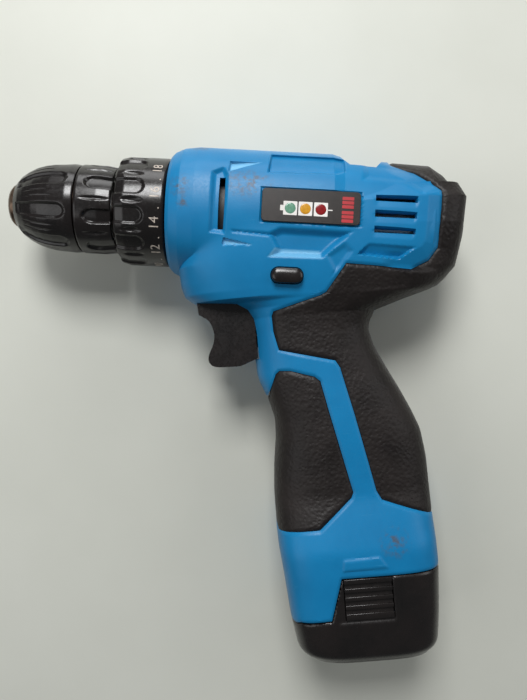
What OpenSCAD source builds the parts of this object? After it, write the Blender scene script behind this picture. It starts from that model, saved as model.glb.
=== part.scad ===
// Cordless drill driver with keyless chuck, torque collar and slide-in battery.
// Units are millimetres. +Z is up and the drill stands on its battery.
// Origin: centre of the battery's underside. The chuck points to -X, the left side faces -Y.
// Lengths along the spindle are measured rearwards from the housing's front ring.

/* [Body] */
// Angle by which the nose points up when the drill stands
nose_tilt = 7.5; // [6:0.5:9]
// Height of the spindle axis at the front ring
spindle_height = 182; // [180:1:186]
// How far the front ring is ahead of the base centre
front_reach = 66; // [64:1:68]
// Half of the grip's width across the hand
grip_half = 19; // [18.5:0.5:20]
// Thickness of the moulded-on rubber
rubber = 1.6; // [1:0.1:2]

/* [Chuck] */
// Outside radius of the two chuck sleeves
chuck_radius = 18; // [17.5:0.5:19]
// Slope of the jaws to the spindle
jaw_slope = 15; // [14:0.5:15]
// Radius of a jaw
jaw_radius = 2.9; // [2.5:0.1:2.9]
// Number of grip flutes round the front sleeve
flute_count = 8; // [6:1:12]

/* [Torque collar] */
// Outside radius of the collar
collar_radius = 22; // [21.5:0.5:22.5]
// Number of finger recesses round the collar
recess_count = 12; // [8:1:16]

/* [Gears] */
// Tooth module of both planetary stages
gear_module = 0.6; // [0.55:0.01:0.6]
// Pressure angle of the teeth
pressure_angle = 25; // [22:1:26]
// Gap cut from each tooth flank
backlash = 0.05; // [0.03:0.01:0.1]

/* [Motor] */
// Outside radius of the motor can
motor_radius = 17.9; // [17:0.1:17.9]
// Distance from the front ring to the motor can
motor_start = 43; // [43:0.5:44]
// Length of the motor can
motor_length = 56; // [50:1:56]

/* [Battery] */
// Radius of one cell
cell_radius = 9.15; // [9:0.05:9.15]
// Length of one cell
cell_length = 65; // [60:1:65]

/* [Hidden] */
$fn = 48;

blue = [0.06, 0.42, 0.68];
rubber_black = [0.13, 0.11, 0.11];
gloss_black = [0.08, 0.07, 0.07];
plastic_grey = [0.30, 0.31, 0.33];
steel = [0.62, 0.62, 0.64];
dark_steel = [0.32, 0.30, 0.29];
brass = [0.80, 0.62, 0.28];
copper = [0.78, 0.42, 0.22];
board_green = [0.08, 0.35, 0.20];

planet_angles = [0, 120, 240];
sun_teeth = 12;
planet_teeth = 18;
ring_teeth = 48;
planet_orbit = gear_module * (sun_teeth + planet_teeth) / 2;
cell_spots = [[-15.6, 4.8], [0, -4.8], [15.6, 4.8]];
// Gap between the skirt and the battery below it
skirt_gap = 0.35;
motor_end = motor_start + motor_length;

// Grip and battery outline: height, front, rear, half width, squareness
outline = [
    [0, -21.5, 24.5, 19.0, 4], [1.2, -25.2, 27.0, 21.8, 4], [4, -27.6, 28.4, 23.4, 4.2],
    [16, -29.4, 29.5, 24.2, 4.5], [34, -31.0, 30.7, 24.6, 4.5], [43, -32.0, 30.7, 24.4, 4.2],
    [51, -32.3, 30.6, 22.4, 3.8], [63, -32.3, 30.9, grip_half + 0.4, 3.4],
    [75, -31.4, 30.8, grip_half, 3.2], [86, -29.8, 29.4, grip_half, 3.1],
    [94, -29.6, 26.3, grip_half - 0.2, 3], [103, -32.0, 22.2, grip_half - 0.6, 2.9],
    [111, -35.2, 18.2, grip_half - 1, 2.8], [121, -35.8, 13.4, grip_half - 1.2, 2.8],
    [129, -35.7, 11.6, grip_half - 1, 2.8], [135, -36.4, 14.8, grip_half - 0.4, 2.8],
    [139, -38.6, 27.5, grip_half + 0.8, 2.9], [141.8, -43.0, 37.5, 20.8, 3],
    [143.2, -58.6, 41.2, 21.2, 3], [146, -62.3, 44.6, 21.9, 3], [150, -63.5, 48.4, 22.8, 3.2],
    [157, -63.8, 50.0, 24.0, 3.8], [166, -58.0, 51.2, 24.8, 5], [176, -46.0, 53.0, 24.8, 5],
    [182, -36.0, 51.5, 22.0, 4]
];

// Head outline: distance behind the front ring, radius
head = [
    [1.2, 23.2], [2.6, 24.6], [6.2, 26.2], [12, 27.0], [65, 27.0], [69, 26.0],
    [85, 25.0], [104, 24.5], [109.5, 21.4], [114, 17.6], [118, 13.0]
];

rear_grip_edge = [
    [26, 205], [24.5, 192], [32.4, 187.1], [41, 178], [38.2, 156.5], [34.5, 152], [27.1, 149],
    [1.9, 152.9], [-6.3, 142.8], [-8.6, 141.7], [-27, 137.1], [-27.8, 135.4], [-27.6, 129.2],
    [-26, 121.8], [-4.5, 116.1], [-2.9, 113.3], [1.1, 95.1], [4.9, 76.4], [7.2, 64.8],
    [9, 61.3], [29.2, 53.3], [60, 52], [70, 60], [70, 205]
];
front_grip_edge = [
    [-31.8, 103.2], [-28, 112.5], [-26.5, 113.7], [-22.1, 113.4], [-13, 110.5], [-10.9, 108.6],
    [-8.5, 96.5], [-3.6, 73.7], [-1.7, 64.8], [-2.6, 62.8], [-15.8, 51.9], [-31.9, 50.9],
    [-50, 50.5], [-50, 103.2]
];
// Lower edge of the housing's skirt, with everything above it
skirt_edge = [
    [-60, 15], [-29.3, 15.1], [-25.8, 17], [-14.2, 18.1], [-9.4, 33.9], [60, 33.9],
    [60, 230], [-90, 230], [-90, 15]
];
// Screw places beside the spindle (along, up), and in the grip (forward, up, post radius)
head_screws = [[14, 23.6], [60, 23.6], [106.5, 8], [64, -25.5], [99.5, -24]];
grip_screws = [
    [-55.5, 150, 3.3], [-29.4, 108.5, 3.3], [14, 107, 3.3], [-29.2, 46, 2], [27.9, 46, 2]
];

function unit(v) = v / norm(v);
function signed_power(v, e) = sign(v) * pow(abs(v), e);
function squircle(front, rear, half, e, count = 28) = [
    for (i = [0 : count - 1])
        let (a = 360 * (i + 0.5) / count)
        [
            (front + rear) / 2 + (rear - front) / 2 * signed_power(cos(a), 2 / e),
            half * signed_power(sin(a), 2 / e)
        ]
];
function outline_rings(low, high, inset) = [
    for (s = outline)
        if (s[0] >= low && s[0] <= high)
            [for (p = squircle(s[1] + inset, s[2] - inset, s[3] - inset, s[4])) [p[0], p[1], s[0]]]
];
function involute(base, t) = [
    base * (cos(t) + t * PI / 180 * sin(t)),
    base * (sin(t) - t * PI / 180 * cos(t))
];
function turned(p, a) = [p[0] * cos(a) - p[1] * sin(a), p[0] * sin(a) + p[1] * cos(a)];
function radius_angle(base, r) = r <= base ? 0 : sqrt(r * r / (base * base) - 1) * 180 / PI;
function polar_angle(p) = atan2(p[1], p[0]);
// One gear outline with involute flanks; gap is taken off each flank
function gear_outline(teeth, tip, root, gap) =
    let (
        pitch = gear_module * teeth / 2,
        base = pitch * cos(pressure_angle),
        at_pitch = polar_angle(involute(base, radius_angle(base, pitch))),
        half = 90 / teeth - gap / pitch * 180 / PI + at_pitch,
        low = max(base, root),
        radii = [for (k = [0 : 4]) low + (tip - low) * k / 4],
        flank = [for (r = radii) turned(involute(base, radius_angle(base, r)), -half)],
        foot = root < base ? [turned([root, 0], -half)] : []
    )
    [
        for (i = [0 : teeth - 1])
            let (a = 360 * i / teeth)
            each concat(
                [for (p = foot) turned(p, a)],
                [for (p = flank) turned(p, a)],
                [for (k = [4 : -1 : 0]) turned([flank[k][0], -flank[k][1]], a)],
                [for (p = foot) turned([p[0], -p[1]], a)]
            )
    ];
function ngon(r, count) = [for (i = [0 : count - 1]) r * [cos(360 * i / count), sin(360 * i / count)]];

// Puts things built along +Z onto the spindle axis; their +X then points down
module on_spindle() {
    translate([-front_reach, 0, spindle_height])
        rotate([0, nose_tilt + 90, 0])
        children();
}

module side_extrude(half) {
    rotate([90, 0, 0])
        linear_extrude(2 * half, center = true)
        children();
}

module bar(along, up, across) {
    translate([along[0], across[0], up[0]])
        cube([along[1] - along[0], across[1] - across[0], up[1] - up[0]]);
}

// A box beside the spindle: z is along it, x points down
module head_box(along, up, across) {
    translate([-up[1], across[0], along[0]])
        cube([up[1] - up[0], across[1] - across[0], along[1] - along[0]]);
}

module tube(outer, inner, from, to) {
    translate([0, 0, from])
        difference() {
            cylinder(r = outer, h = to - from);
            translate([0, 0, -1])
                cylinder(r = inner, h = to - from + 2);
        }
}

module loft(rings) {
    n = len(rings[0]);
    m = len(rings);
    sides = [
        for (k = [0 : m - 2])
            for (i = [0 : n - 1])
                let (a = k * n + i, b = k * n + (i + 1) % n)
                each [[a, a + n, b + n], [a, b + n, b]]
    ];
    polyhedron(
        points = [for (r = rings) each r],
        faces = concat(
            [[for (i = [0 : n - 1]) i]],
            sides,
            [[for (i = [n - 1 : -1 : 0]) (m - 1) * n + i]]
        )
    );
}

// Round wire wound into a spring along +Z, without closed ends
module coil(radius, wire, turns, length, steps = 16, sides = 6) {
    count = turns * steps;
    rings = [
        for (k = [0 : count])
            let (a = 360 * k / steps, z = wire + (length - 2 * wire) * k / count)
            [
                for (j = [0 : sides - 1])
                    let (b = -360 * j / sides, r = radius + wire * cos(b))
                    [r * cos(a), r * sin(a), z + wire * sin(b)]
            ]
    ];
    loft(rings);
}

module head_solid(inset) {
    tail = [for (p = head) [max(p[1] - inset, 0.5), p[0] < 60 ? p[0] : p[0] - inset * (p[0] - 60) / 58]];
    on_spindle()
        intersection() {
            rotate_extrude()
                polygon(concat([[0, head[0][0]]], tail, [[0, tail[len(tail) - 1][1]]]));
            cube([80, 50.8 - 2 * inset, 300], center = true);
        }
}

module outer_solid(inset) {
    head_solid(inset);
    loft(outline_rings(16, 182, inset));
}

// Everything outside the housing's core where a rubber grip lies
module grip_bed(edge) {
    difference() {
        side_extrude(40)
            polygon(edge);
        outer_solid(rubber);
    }
}

// Space inside the housing for the gearbox, motor, switch, leads and battery
module hollow() {
    on_spindle() {
        translate([0, 0, -1])
            cylinder(r = 20.6, h = 9);
        translate([0, 0, 7.5])
            cylinder(r = 23, h = 57.5);
        difference() {
            translate([0, 0, 64])
                cylinder(r = 21, h = 47);
            head_box([63, 112], [18.3, 30], [-30, 30]);
        }
    }
    intersection() {
        loft(outline_rings(75, 166, rubber + 2));
        side_extrude(16)
            polygon([
                [-59.5, 160], [-59.5, 147.5], [-56, 146.2], [-37, 146.2], [-33.2, 142],
                [-33, 112], [-29, 104], [-27, 92], [-27, 84], [27, 84], [23, 93], [18.5, 103],
                [14, 113], [9.6, 122], [8.6, 130], [11, 136], [24, 141.5], [38, 145], [46, 150],
                [48, 165]
            ]);
    }
    translate([0, 0, 30])
        linear_extrude(58)
        tower_outline(0.5);
    loft(outline_rings(16, 43, 2.6));
    translate([0, 0, 10])
        linear_extrude(7)
        polygon(squircle(-27, 27, 21.6, 4.5));
}

// Ribs that hold the gear case and the motor, and the posts for the screws
module inner_frame() {
    on_spindle() {
        for (z = [11, 36])
            tube(23.5, 20.03, z, z + 2.4);
        difference() {
            for (z = [50, 60])
                tube(23.5, motor_radius + 0.03, z, z + 2);
            head_box([44, 66], [-6, 6], [-30, -19.5]);
        }
        intersection() {
            tube(21.5, motor_radius + 0.03, 90, 92);
            head_box([80, 100], [-14, 18.4], [-30, 30]);
        }
        for (s = head_screws)
            translate([-s[1], 0, s[0]])
            rotate([90, 0, 0])
            cylinder(r = 3.3, h = 60, center = true);
    }
    for (s = grip_screws)
        translate([s[0], 0, s[1]])
        rotate([90, 0, 0])
        cylinder(r = s[2], h = 60, center = true);
    for (x = [-26.6, 2.2])
        bar([x, x + 2], [107, 112.9], [-17, 17]);
    bar([-16, 14], [96.6, 99], [-17, -10.2]);
    bar([-16, 14], [96.6, 99], [10.2, 17]);
}

module screw_holes(side) {
    on_spindle()
        for (s = head_screws)
            translate([-s[1], 0, s[0]])
            screw_hole(side);
    for (s = grip_screws)
        translate([s[0], 0, s[1]])
        screw_hole(side);
}

module screw_hole(side) {
    rotate([-90, 0, 0]) {
        translate([0, 0, -8.5])
            cylinder(r = 1.32, h = 20);
        if (side > 0)
            translate([0, 0, 9])
                cylinder(r = 2.4, h = 20);
    }
}

module vents() {
    on_spindle()
        for (s = [-1, 1]) {
            for (z = [5, -1, -7])
                head_box([81, 96.5], [z - 0.9, z + 0.9], [s * 25 - 8, s * 25 + 8]);
            head_box([21.6, 23.8], [-9.8, 9.8], [s * 25 - 8, s * 25 + 8]);
        }
    on_spindle() {
        head_box([70.8, 85.8], [20.6, 32], [-30, 30]);
        for (z = [72.5, 79])
            head_box([z, z + 2.8], [10, 32], [-7, 7]);
    }
}

module button_outline(grow) {
    rotate([0, 0, 7]) {
        translate([-3.2, 0])
            circle(r = 2.85 + grow);
        translate([3.2, 0])
            circle(r = 2.85 + grow);
        square([6.4, 5.7 + 2 * grow], center = true);
    }
}

module housing_half(side) {
    difference() {
        intersection() {
            outer_solid(0);
            side_extrude(60)
                polygon(skirt_edge);
            translate([-100, side > 0 ? 0 : -60, 0])
                cube([200, 60, 240]);
        }
        difference() {
            hollow();
            inner_frame();
        }
        grip_bed(rear_grip_edge);
        grip_bed(front_grip_edge);
        screw_holes(side);
        vents();
        // Way through for the trigger and the direction button
        bar([-70, -27.2], [118.8, 141.7], [-9.8, 9.8]);
        translate([-20.9, 0, 149.8])
            side_extrude(40)
            button_outline(0.3);
        // Channels that the release hooks run up in
        bar([-9.2, 9.2], [30, 41.5], [-23.6, 23.6]);
        if (side < 0)
            on_spindle() {
                head_box([37.7, 75.3], [-6.4, 6.4], [-26, -24.9]);
                for (z = [48.7, 54.4, 60.2])
                    translate([1, -26, z])
                    rotate([-90, 0, 0])
                    cylinder(r = 1.7, h = 8);
            }
    }
}

module housing_left() {
    color(blue)
        housing_half(-1);
}

module housing_right() {
    color(blue)
        housing_half(1);
}

module grip_half_skin(edge, side) {
    color(rubber_black)
        difference() {
            intersection() {
                outer_solid(0);
                grip_bed(edge);
                translate([-100, side > 0 ? 0 : -60, 0])
                    cube([200, 60, 240]);
            }
            screw_holes(side);
            vents();
        }
}

module rear_grip_left() {
    grip_half_skin(rear_grip_edge, -1);
}

module rear_grip_right() {
    grip_half_skin(rear_grip_edge, 1);
}

module front_grip_left() {
    grip_half_skin(front_grip_edge, -1);
}

module front_grip_right() {
    grip_half_skin(front_grip_edge, 1);
}

module screw() {
    rotate([-90, 0, 0])
        difference() {
            union() {
                translate([0, 0, -8])
                    cylinder(r = 1.3, h = 17.5);
                translate([0, 0, 9])
                    cylinder(r = 2.25, h = 2);
            }
            for (a = [0, 90])
                rotate([0, 0, a])
                translate([-1.4, -0.35, 10])
                cube([2.8, 0.7, 2]);
        }
}

module housing_screws() {
    color(dark_steel) {
        on_spindle()
            for (s = head_screws)
                translate([-s[1], 0, s[0]])
                screw();
        for (s = grip_screws)
            translate([s[0], 0, s[1]])
            screw();
    }
}

module indicator_panel() {
    color(gloss_black)
        on_spindle()
        difference() {
            head_box([37.9, 75.1], [-6.2, 6.2], [-25.6, -24.9]);
            for (z = [48.7, 54.4, 60.2])
                translate([1, -27, z])
                rotate([-90, 0, 0])
                cylinder(r = 2.05, h = 4);
        }
}

module indicator_lenses() {
    color([0.85, 0.85, 0.80])
        on_spindle()
        for (z = [48.7, 54.4, 60.2])
            translate([1, -25.9, z])
            rotate([-90, 0, 0]) {
                cylinder(r = 2.0, h = 0.95);
                cylinder(r = 1.6, h = 2.9);
            }
}

module indicator_board() {
    color(board_green)
        on_spindle() {
            head_box([52.3, 59.7], [-4.5, 4.5], [-21.8, -20.4]);
            head_box([45, 64], [-4.5, 3], [-21.8, -20.4]);
            for (z = [48.7, 54.4, 60.2])
                translate([1, -22.7, z])
                rotate([-90, 0, 0])
                cylinder(r = 1.4, h = 1.5);
        }
}

module gear_case() {
    color(plastic_grey)
        on_spindle()
        difference() {
            union() {
                tube(14, 12.02, -18.2, 11.6);
                tube(20, 12.02, 8, 11.6);
                tube(20, 17.6, 11, 43);
                for (s = [-1, 1])
                    head_box([17, 33], [s * 21 - 1.4, s * 21 + 1.3], [-4, 4]);
            }
            for (a = [30 : 60 : 330])
                rotate([0, 0, a])
                translate([15.6, 0, 7])
                cylinder(r = 2.5, h = 6);
        }
}

module spindle_bearings() {
    color(steel)
        on_spindle()
        for (z = [-17.2, -3]) {
            tube(12, 10.4, z, z + 6);
            tube(7.6, 6.02, z, z + 6);
            for (a = [0 : 40 : 320])
                rotate([0, 0, a])
                translate([9, 0, z + 3])
                sphere(r = 1.3);
        }
}

module ring_gear(from, to) {
    cut = gear_outline(ring_teeth, gear_module * (ring_teeth / 2 + 1.15), gear_module * (ring_teeth / 2 - 0.85), -backlash);
    translate([0, 0, from])
        linear_extrude(to - from)
        difference() {
            polygon(ngon(17.5, 96));
            rotate([0, 0, 180 / ring_teeth])
                polygon(cut);
        }
}

module fixed_ring_gear() {
    color(dark_steel)
        on_spindle()
        ring_gear(28.3, 39.3);
}

module clutch_ring_gear() {
    color(steel)
        on_spindle() {
            ring_gear(12.4, 24.5);
            for (a = [0 : 60 : 300])
                rotate([0, 0, a])
                translate([14.9, -1.2, 11.8])
                cube([2.2, 2.4, 0.8]);
        }
}

module clutch_balls() {
    color(steel)
        on_spindle()
        for (a = [30 : 60 : 330])
            rotate([0, 0, a])
            translate([15.6, 0, 9.8])
            sphere(r = 2.4);
}

module clutch_washer() {
    color(steel)
        on_spindle()
        tube(17.9, 14.15, 5.8, 7.38);
}

module clutch_spring() {
    color(dark_steel)
        on_spindle()
        translate([0, 0, -5.95])
        coil(16.0, 1.15, 4, 11.7, 20, 8);
}

module clutch_nut() {
    color(plastic_grey)
        on_spindle()
        difference() {
            union() {
                tube(17.8, 14.1, -10, -6);
                for (a = [45 : 90 : 315])
                    rotate([0, 0, a])
                    translate([17, -1.5, -10])
                    cube([2.2, 3, 4]);
            }
            for (z = [-9.4 : 1.2 : -6.4])
                translate([0, 0, z])
                cylinder(r = 14.5, h = 0.5);
        }
}

module torque_collar() {
    color(gloss_black)
        on_spindle()
        difference() {
            rotate_extrude()
                polygon([
                    [14.6, -19.4], [20.4, -19.4], [21.2, -18.8], [collar_radius, -15.6],
                    [collar_radius, -0.4], [collar_radius - 0.5, 0.5], [19.8, 0.5], [19.8, 5],
                    [18.3, 5], [18.3, -16.8], [14.6, -16.8]
                ]);
            for (i = [0 : recess_count - 1])
                rotate([0, 0, 360 * (i + 0.5) / recess_count])
                translate([collar_radius + 2.0, 0, -24])
                cylinder(r = 3.4, h = 16.8);
            // Grooves that carry the clutch nut's four keys
            for (a = [45 : 90 : 315])
                rotate([0, 0, a])
                translate([17, -1.8, -16.4])
                cube([2.5, 3.6, 15.2]);
        }
}

module spindle() {
    color(steel)
        on_spindle()
        difference() {
            union() {
                translate([0, 0, -38.4])
                    cylinder(r = 4.76, h = 18);
                translate([0, 0, -21.6])
                    cylinder(r = 5.98, h = 26.6);
                translate([-3.8, -3.8, 4])
                    cube([7.6, 7.6, 8]);
            }
            translate([0, 0, -39.4])
                cylinder(r = 2.52, h = 18);
        }
}

module planet_carrier(disc_radius, from, to, pin_end) {
    translate([0, 0, from])
        linear_extrude(to - from)
        polygon(ngon(disc_radius, 48));
    for (a = planet_angles)
        rotate([0, 0, a])
        translate([planet_orbit, 0, to - 0.5])
        linear_extrude(pin_end - to + 0.5)
        polygon(ngon(1.5, 24));
}

module output_carrier() {
    color(steel)
        on_spindle()
        difference() {
            planet_carrier(11.7, 6.5, 12.4, 23.9);
            translate([-3.85, -3.85, 6])
                cube([7.7, 7.7, 7]);
        }
}

module planet(angle, from, to) {
    color(dark_steel)
        on_spindle()
        rotate([0, 0, angle])
        translate([planet_orbit, 0, from])
        linear_extrude(to - from)
        difference() {
            rotate([0, 0, 180 / planet_teeth])
                polygon(gear_outline(
                    planet_teeth, gear_module * (planet_teeth / 2 + 0.85),
                    gear_module * (planet_teeth / 2 - 1.15), backlash
                ));
            polygon(ngon(1.62, 24));
        }
}

module sun_gear(from, to) {
    translate([0, 0, from])
        linear_extrude(to - from)
        polygon(gear_outline(
            sun_teeth, gear_module * (sun_teeth / 2 + 0.85),
            gear_module * (sun_teeth / 2 - 1.15), backlash
        ));
}

module output_planet_1() {
    planet(planet_angles[0], 13.2, 23.4);
}

module output_planet_2() {
    planet(planet_angles[1], 13.2, 23.4);
}

module output_planet_3() {
    planet(planet_angles[2], 13.2, 23.4);
}

module middle_carrier() {
    color(steel)
        on_spindle() {
            planet_carrier(12.4, 25.2, 28, 38.2);
            sun_gear(13.4, 25.6);
        }
}

module middle_planet_1() {
    planet(planet_angles[0], 28.6, 37.8);
}

module middle_planet_2() {
    planet(planet_angles[1], 28.6, 37.8);
}

module middle_planet_3() {
    planet(planet_angles[2], 28.6, 37.8);
}

module motor_pinion() {
    color(brass)
        on_spindle()
        difference() {
            sun_gear(28.7, 38.0);
            translate([0, 0, 28])
                linear_extrude(12)
                polygon(ngon(1.62, 24));
        }
}

module motor_plate() {
    color(dark_steel)
        on_spindle()
        difference() {
            tube(17.4, 6.6, 40, motor_start);
            for (a = [0, 180])
                rotate([0, 0, a])
                translate([12.5, 0, 39])
                cylinder(r = 1.6, h = 6);
        }
}

module motor_can() {
    color(steel)
        on_spindle()
        difference() {
            rotate_extrude()
                polygon([
                    [1.65, 39], [6.5, 39], [6.5, motor_start], [motor_radius, motor_start],
                    [motor_radius, motor_end], [motor_radius - 1.2, motor_end],
                    [motor_radius - 1.2, motor_start + 1.2], [5, motor_start + 1.2],
                    [5, motor_start + 2.5], [1.65, motor_start + 2.5]
                ]);
            for (a = [0, 180])
                rotate([0, 0, a]) {
                    translate([12.5, 0, motor_start - 1])
                        cylinder(r = 1.4, h = 4);
                    translate([0, 16, motor_start + 3])
                        rotate([-90, 0, 0])
                        cylinder(r = 2.2, h = 4);
                }
            for (a = [45 : 90 : 315])
                rotate([0, 0, a])
                translate([10.5, 0, motor_start - 1])
                cylinder(r = 2.4, h = 4);
        }
}

module motor_magnets() {
    color(gloss_black)
        on_spindle()
        difference() {
            tube(motor_radius - 1.25, 13.5, motor_start + 8, motor_end - 10);
            for (s = [-1, 1])
                translate([s * 15, 0, motor_start + 20])
                cube([22, 11, 100], center = true);
        }
}

module motor_end_cap() {
    color([0.85, 0.83, 0.78])
        on_spindle()
        difference() {
            union() {
                tube(motor_radius - 1.25, 7, motor_end - 1.8, motor_end + 0.2);
                tube(motor_radius - 0.2, 1.65, motor_end + 0.1, motor_end + 2.2);
                tube(5, 1.65, motor_end + 2, motor_end + 5.6);
                for (s = [-1, 1])
                    translate([s * 10.5 - 3.3, -3.3, motor_end - 8.2])
                    cube([6.6, 6.6, 8]);
            }
            for (s = [-1, 1])
                translate([s * 9, 0, motor_end - 4.9])
                cube([12, 4.4, 4.6], center = true);
        }
}

module motor_brushes() {
    color([0.18, 0.18, 0.19])
        on_spindle()
        for (s = [-1, 1])
            translate([s * 9 - 4.1, -2.1, motor_end - 7.1])
            cube([8.2, 4.2, 4.4]);
}

module motor_shaft() {
    color(steel)
        on_spindle()
        translate([0, 0, 28.9])
        cylinder(r = 1.6, h = motor_end + 4.6 - 28.9);
}

module armature_slots(width, from_radius, to_radius) {
    for (i = [0 : 4])
        rotate([0, 0, 72 * i])
        translate([from_radius, -width / 2])
        square([to_radius - from_radius, width]);
}

module armature_core() {
    color(dark_steel)
        on_spindle()
        translate([0, 0, motor_start + 12])
        linear_extrude(29)
        difference() {
            circle(r = 12.9);
            circle(r = 1.61);
            armature_slots(2, 8, 14);
            armature_slots(5.6, 5.2, 11.4);
        }
}

module armature_windings() {
    color(copper)
        on_spindle() {
            tube(11.2, 1.62, motor_start + 7.5, motor_start + 11.9);
            tube(11.2, 1.62, motor_start + 41.1, motor_start + 44.5);
            translate([0, 0, motor_start + 11.5])
                linear_extrude(30)
                armature_slots(5.2, 5.5, 11);
        }
}

module commutator() {
    color(copper)
        on_spindle()
        translate([0, 0, motor_start + 44.6])
        linear_extrude(8.6)
        difference() {
            circle(r = 4.8);
            circle(r = 1.62);
            armature_slots(0.5, 3.4, 6);
        }
}

module switch_body() {
    color(gloss_black)
        difference() {
            union() {
                bar([-24.6, 2.6], [113, 138.4], [-8.6, 8.6]);
                bar([-20, -1], [113, 135], [-9.4, 9.4]);
                bar([2.5, 5], [128.5, 131.5], [-6, -3]);
                bar([2.5, 5], [128.5, 131.5], [3, 6]);
            }
            translate([-25, 0, 128])
                rotate([0, 90, 0])
                cylinder(r = 3.1, h = 17);
        }
}

module trigger() {
    color(rubber_black)
        difference() {
            union() {
                side_extrude(9.3)
                    polygon([
                        [-57.4, 141.3], [-53.8, 139.9], [-50.8, 137], [-49.1, 133.1],
                        [-48.7, 128.8], [-49.8, 125.1], [-51.9, 120.9], [-51.3, 119.2],
                        [-34.6, 119.2], [-34.6, 141.3]
                    ]);
                translate([-40, 0, 128])
                    rotate([0, 90, 0])
                    cylinder(r = 3, h = 23.6);
            }
            translate([-45, 0, 128])
                rotate([0, 90, 0])
                difference() {
                    cylinder(r = 5.6, h = 12);
                    cylinder(r = 3, h = 30);
                }
        }
}

module trigger_spring() {
    color(steel)
        translate([-44.95, 0, 128])
        rotate([0, 90, 0])
        coil(4.35, 0.5, 8, 20.2, 14, 6);
}

module direction_button() {
    color(gloss_black)
        difference() {
            translate([-20.9, 0, 149.8])
                side_extrude(25.6)
                button_outline(0);
            bar([-24.2, -17.8], [146, 149.6], [-1.7, 1.7]);
        }
}

module direction_lever() {
    color(plastic_grey) {
        translate([-8, 0, 138.6])
            cylinder(r = 4, h = 2.6);
        bar([-22.2, -8], [138.6, 141.2], [-1.6, 1.6]);
        translate([-20.9, 0, 138.6])
            cylinder(r = 1.3, h = 10.4);
    }
}

module terminal_block() {
    color(gloss_black) {
        bar([-14.5, 12.5], [88.6, 96.4], [-10, 10]);
        for (x = [-9, -1, 7])
            bar([x - 3, x + 3], [77, 90], [-0.45, 0.45]);
    }
}

// Cuts the corners of a path once, keeping its ends
function eased(path) = [
    path[0],
    for (i = [0 : len(path) - 2])
        each [0.75 * path[i] + 0.25 * path[i + 1], 0.25 * path[i] + 0.75 * path[i + 1]],
    path[len(path) - 1]
];

// Round wire through points [forward, up] at one distance across
module wire(points, across, radius) {
    path = eased(eased(points));
    last = len(path) - 1;
    rings = [
        for (i = [0 : last])
            let (t = unit(path[min(i + 1, last)] - path[max(i - 1, 0)]))
            [
                for (a = [0 : 36 : 324])
                    [
                        path[i][0] + radius * cos(a) * t[1],
                        across + radius * sin(a),
                        path[i][1] - radius * cos(a) * t[0]
                    ]
            ]
    ];
    loft(rings);
}

module leads() {
    color([0.55, 0.08, 0.06])
        for (s = [-1, 1]) {
            wire([[5.1, 130], [6.6, 130], [7, 137], [10.8, 152.4], [38.1, 148.9], [40.2, 165]], s * 4.6, 1.1);
            wire([[-6, 96.5], [-6, 104], [-2, 107], [-2, 112.9]], s * 5, 1.1);
        }
}

// Chuck
module jaw_axis(angle) {
    rotate([0, 0, angle])
        translate([2.2, 0, -64.9])
        rotate([0, jaw_slope, 0])
        children();
}

module jaw(angle) {
    color(steel)
        on_spindle()
        intersection() {
            jaw_axis(angle)
                translate([0, 0, -3])
                cylinder(r = jaw_radius, h = 24);
            rotate([0, 0, angle])
                translate([0, 0, -65.2])
                linear_extrude(40)
                polygon([[0.5, 0], [14.5, -24.2], [14.5, 24.2]]);
        }
}

module jaw_1() {
    jaw(60);
}

module jaw_2() {
    jaw(180);
}

module jaw_3() {
    jaw(300);
}

module chuck_body() {
    color(steel)
        on_spindle()
        difference() {
            rotate_extrude()
                polygon([
                    [5.2, -64.9], [7.4, -64.9], [8.5, -63.8], [8.5, -59.6], [11.4, -57],
                    [14.4, -51.4], [14.4, -48.45], [9.5, -48.45], [11.25, -41.4], [12.2, -41.4],
                    [12.2, -39.7], [14.4, -39.7], [14.4, -21.8], [4.77, -21.8], [4.77, -38.4],
                    [2.55, -38.4], [2.55, -39.9], [5.2, -39.9]
                ]);
            for (a = [60, 180, 300])
                jaw_axis(a)
                    translate([0, 0, -4])
                    cylinder(r = jaw_radius + 0.06, h = 46);
        }
}

module chuck_front_sleeve() {
    color(gloss_black)
        on_spindle()
        difference() {
            rotate_extrude()
                polygon([
                    [9, -62], [9.9, -62.2], [12.6, -59.6], [16.0, -53.4], [chuck_radius - 0.4, -46.4],
                    [chuck_radius, -39], [chuck_radius - 0.4, -36.1], [15.6, -36.1], [15.6, -48.5],
                    [14.9, -48.5], [14.9, -51.4], [11.9, -57.3], [9, -59.9]
                ]);
            for (i = [0 : flute_count - 1])
                rotate([0, 0, 360 * i / flute_count + 15])
                translate([chuck_radius + 2.1, 0, -67.4])
                cylinder(r = 3.0, h = 28.8);
        }
}

module chuck_rear_sleeve() {
    color(gloss_black)
        on_spindle()
        difference() {
            rotate_extrude()
                polygon([
                    [16.3, -35.7], [chuck_radius - 0.4, -35.7], [chuck_radius, -35.1],
                    [chuck_radius, -26.4], [chuck_radius - 1.4, -21.2], [14.4, -21.2], [14.4, -24.2],
                    [16.3, -25]
                ]);
            for (i = [0 : 7])
                rotate([0, 0, 45 * i + 20])
                translate([chuck_radius + 3.6, 0, -32.5])
                cylinder(r = 4.6, h = 20);
        }
}

module chuck_nut() {
    color(steel)
        on_spindle()
        rotate_extrude()
        polygon([[9.85, -48.2], [15.6, -48.2], [15.6, -41.6], [11.6, -41.6]]);
}

module chuck_screw() {
    color(dark_steel)
        on_spindle()
        difference() {
            union() {
                translate([0, 0, -42.4])
                    cylinder(r = 4.2, h = 2.5);
                translate([0, 0, -40.4])
                    cylinder(r = 2.5, h = 17);
            }
            for (a = [0, 90])
                rotate([0, 0, a])
                translate([-2.6, -0.5, -43.4])
                cube([5.2, 1, 2.2]);
        }
}

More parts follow.
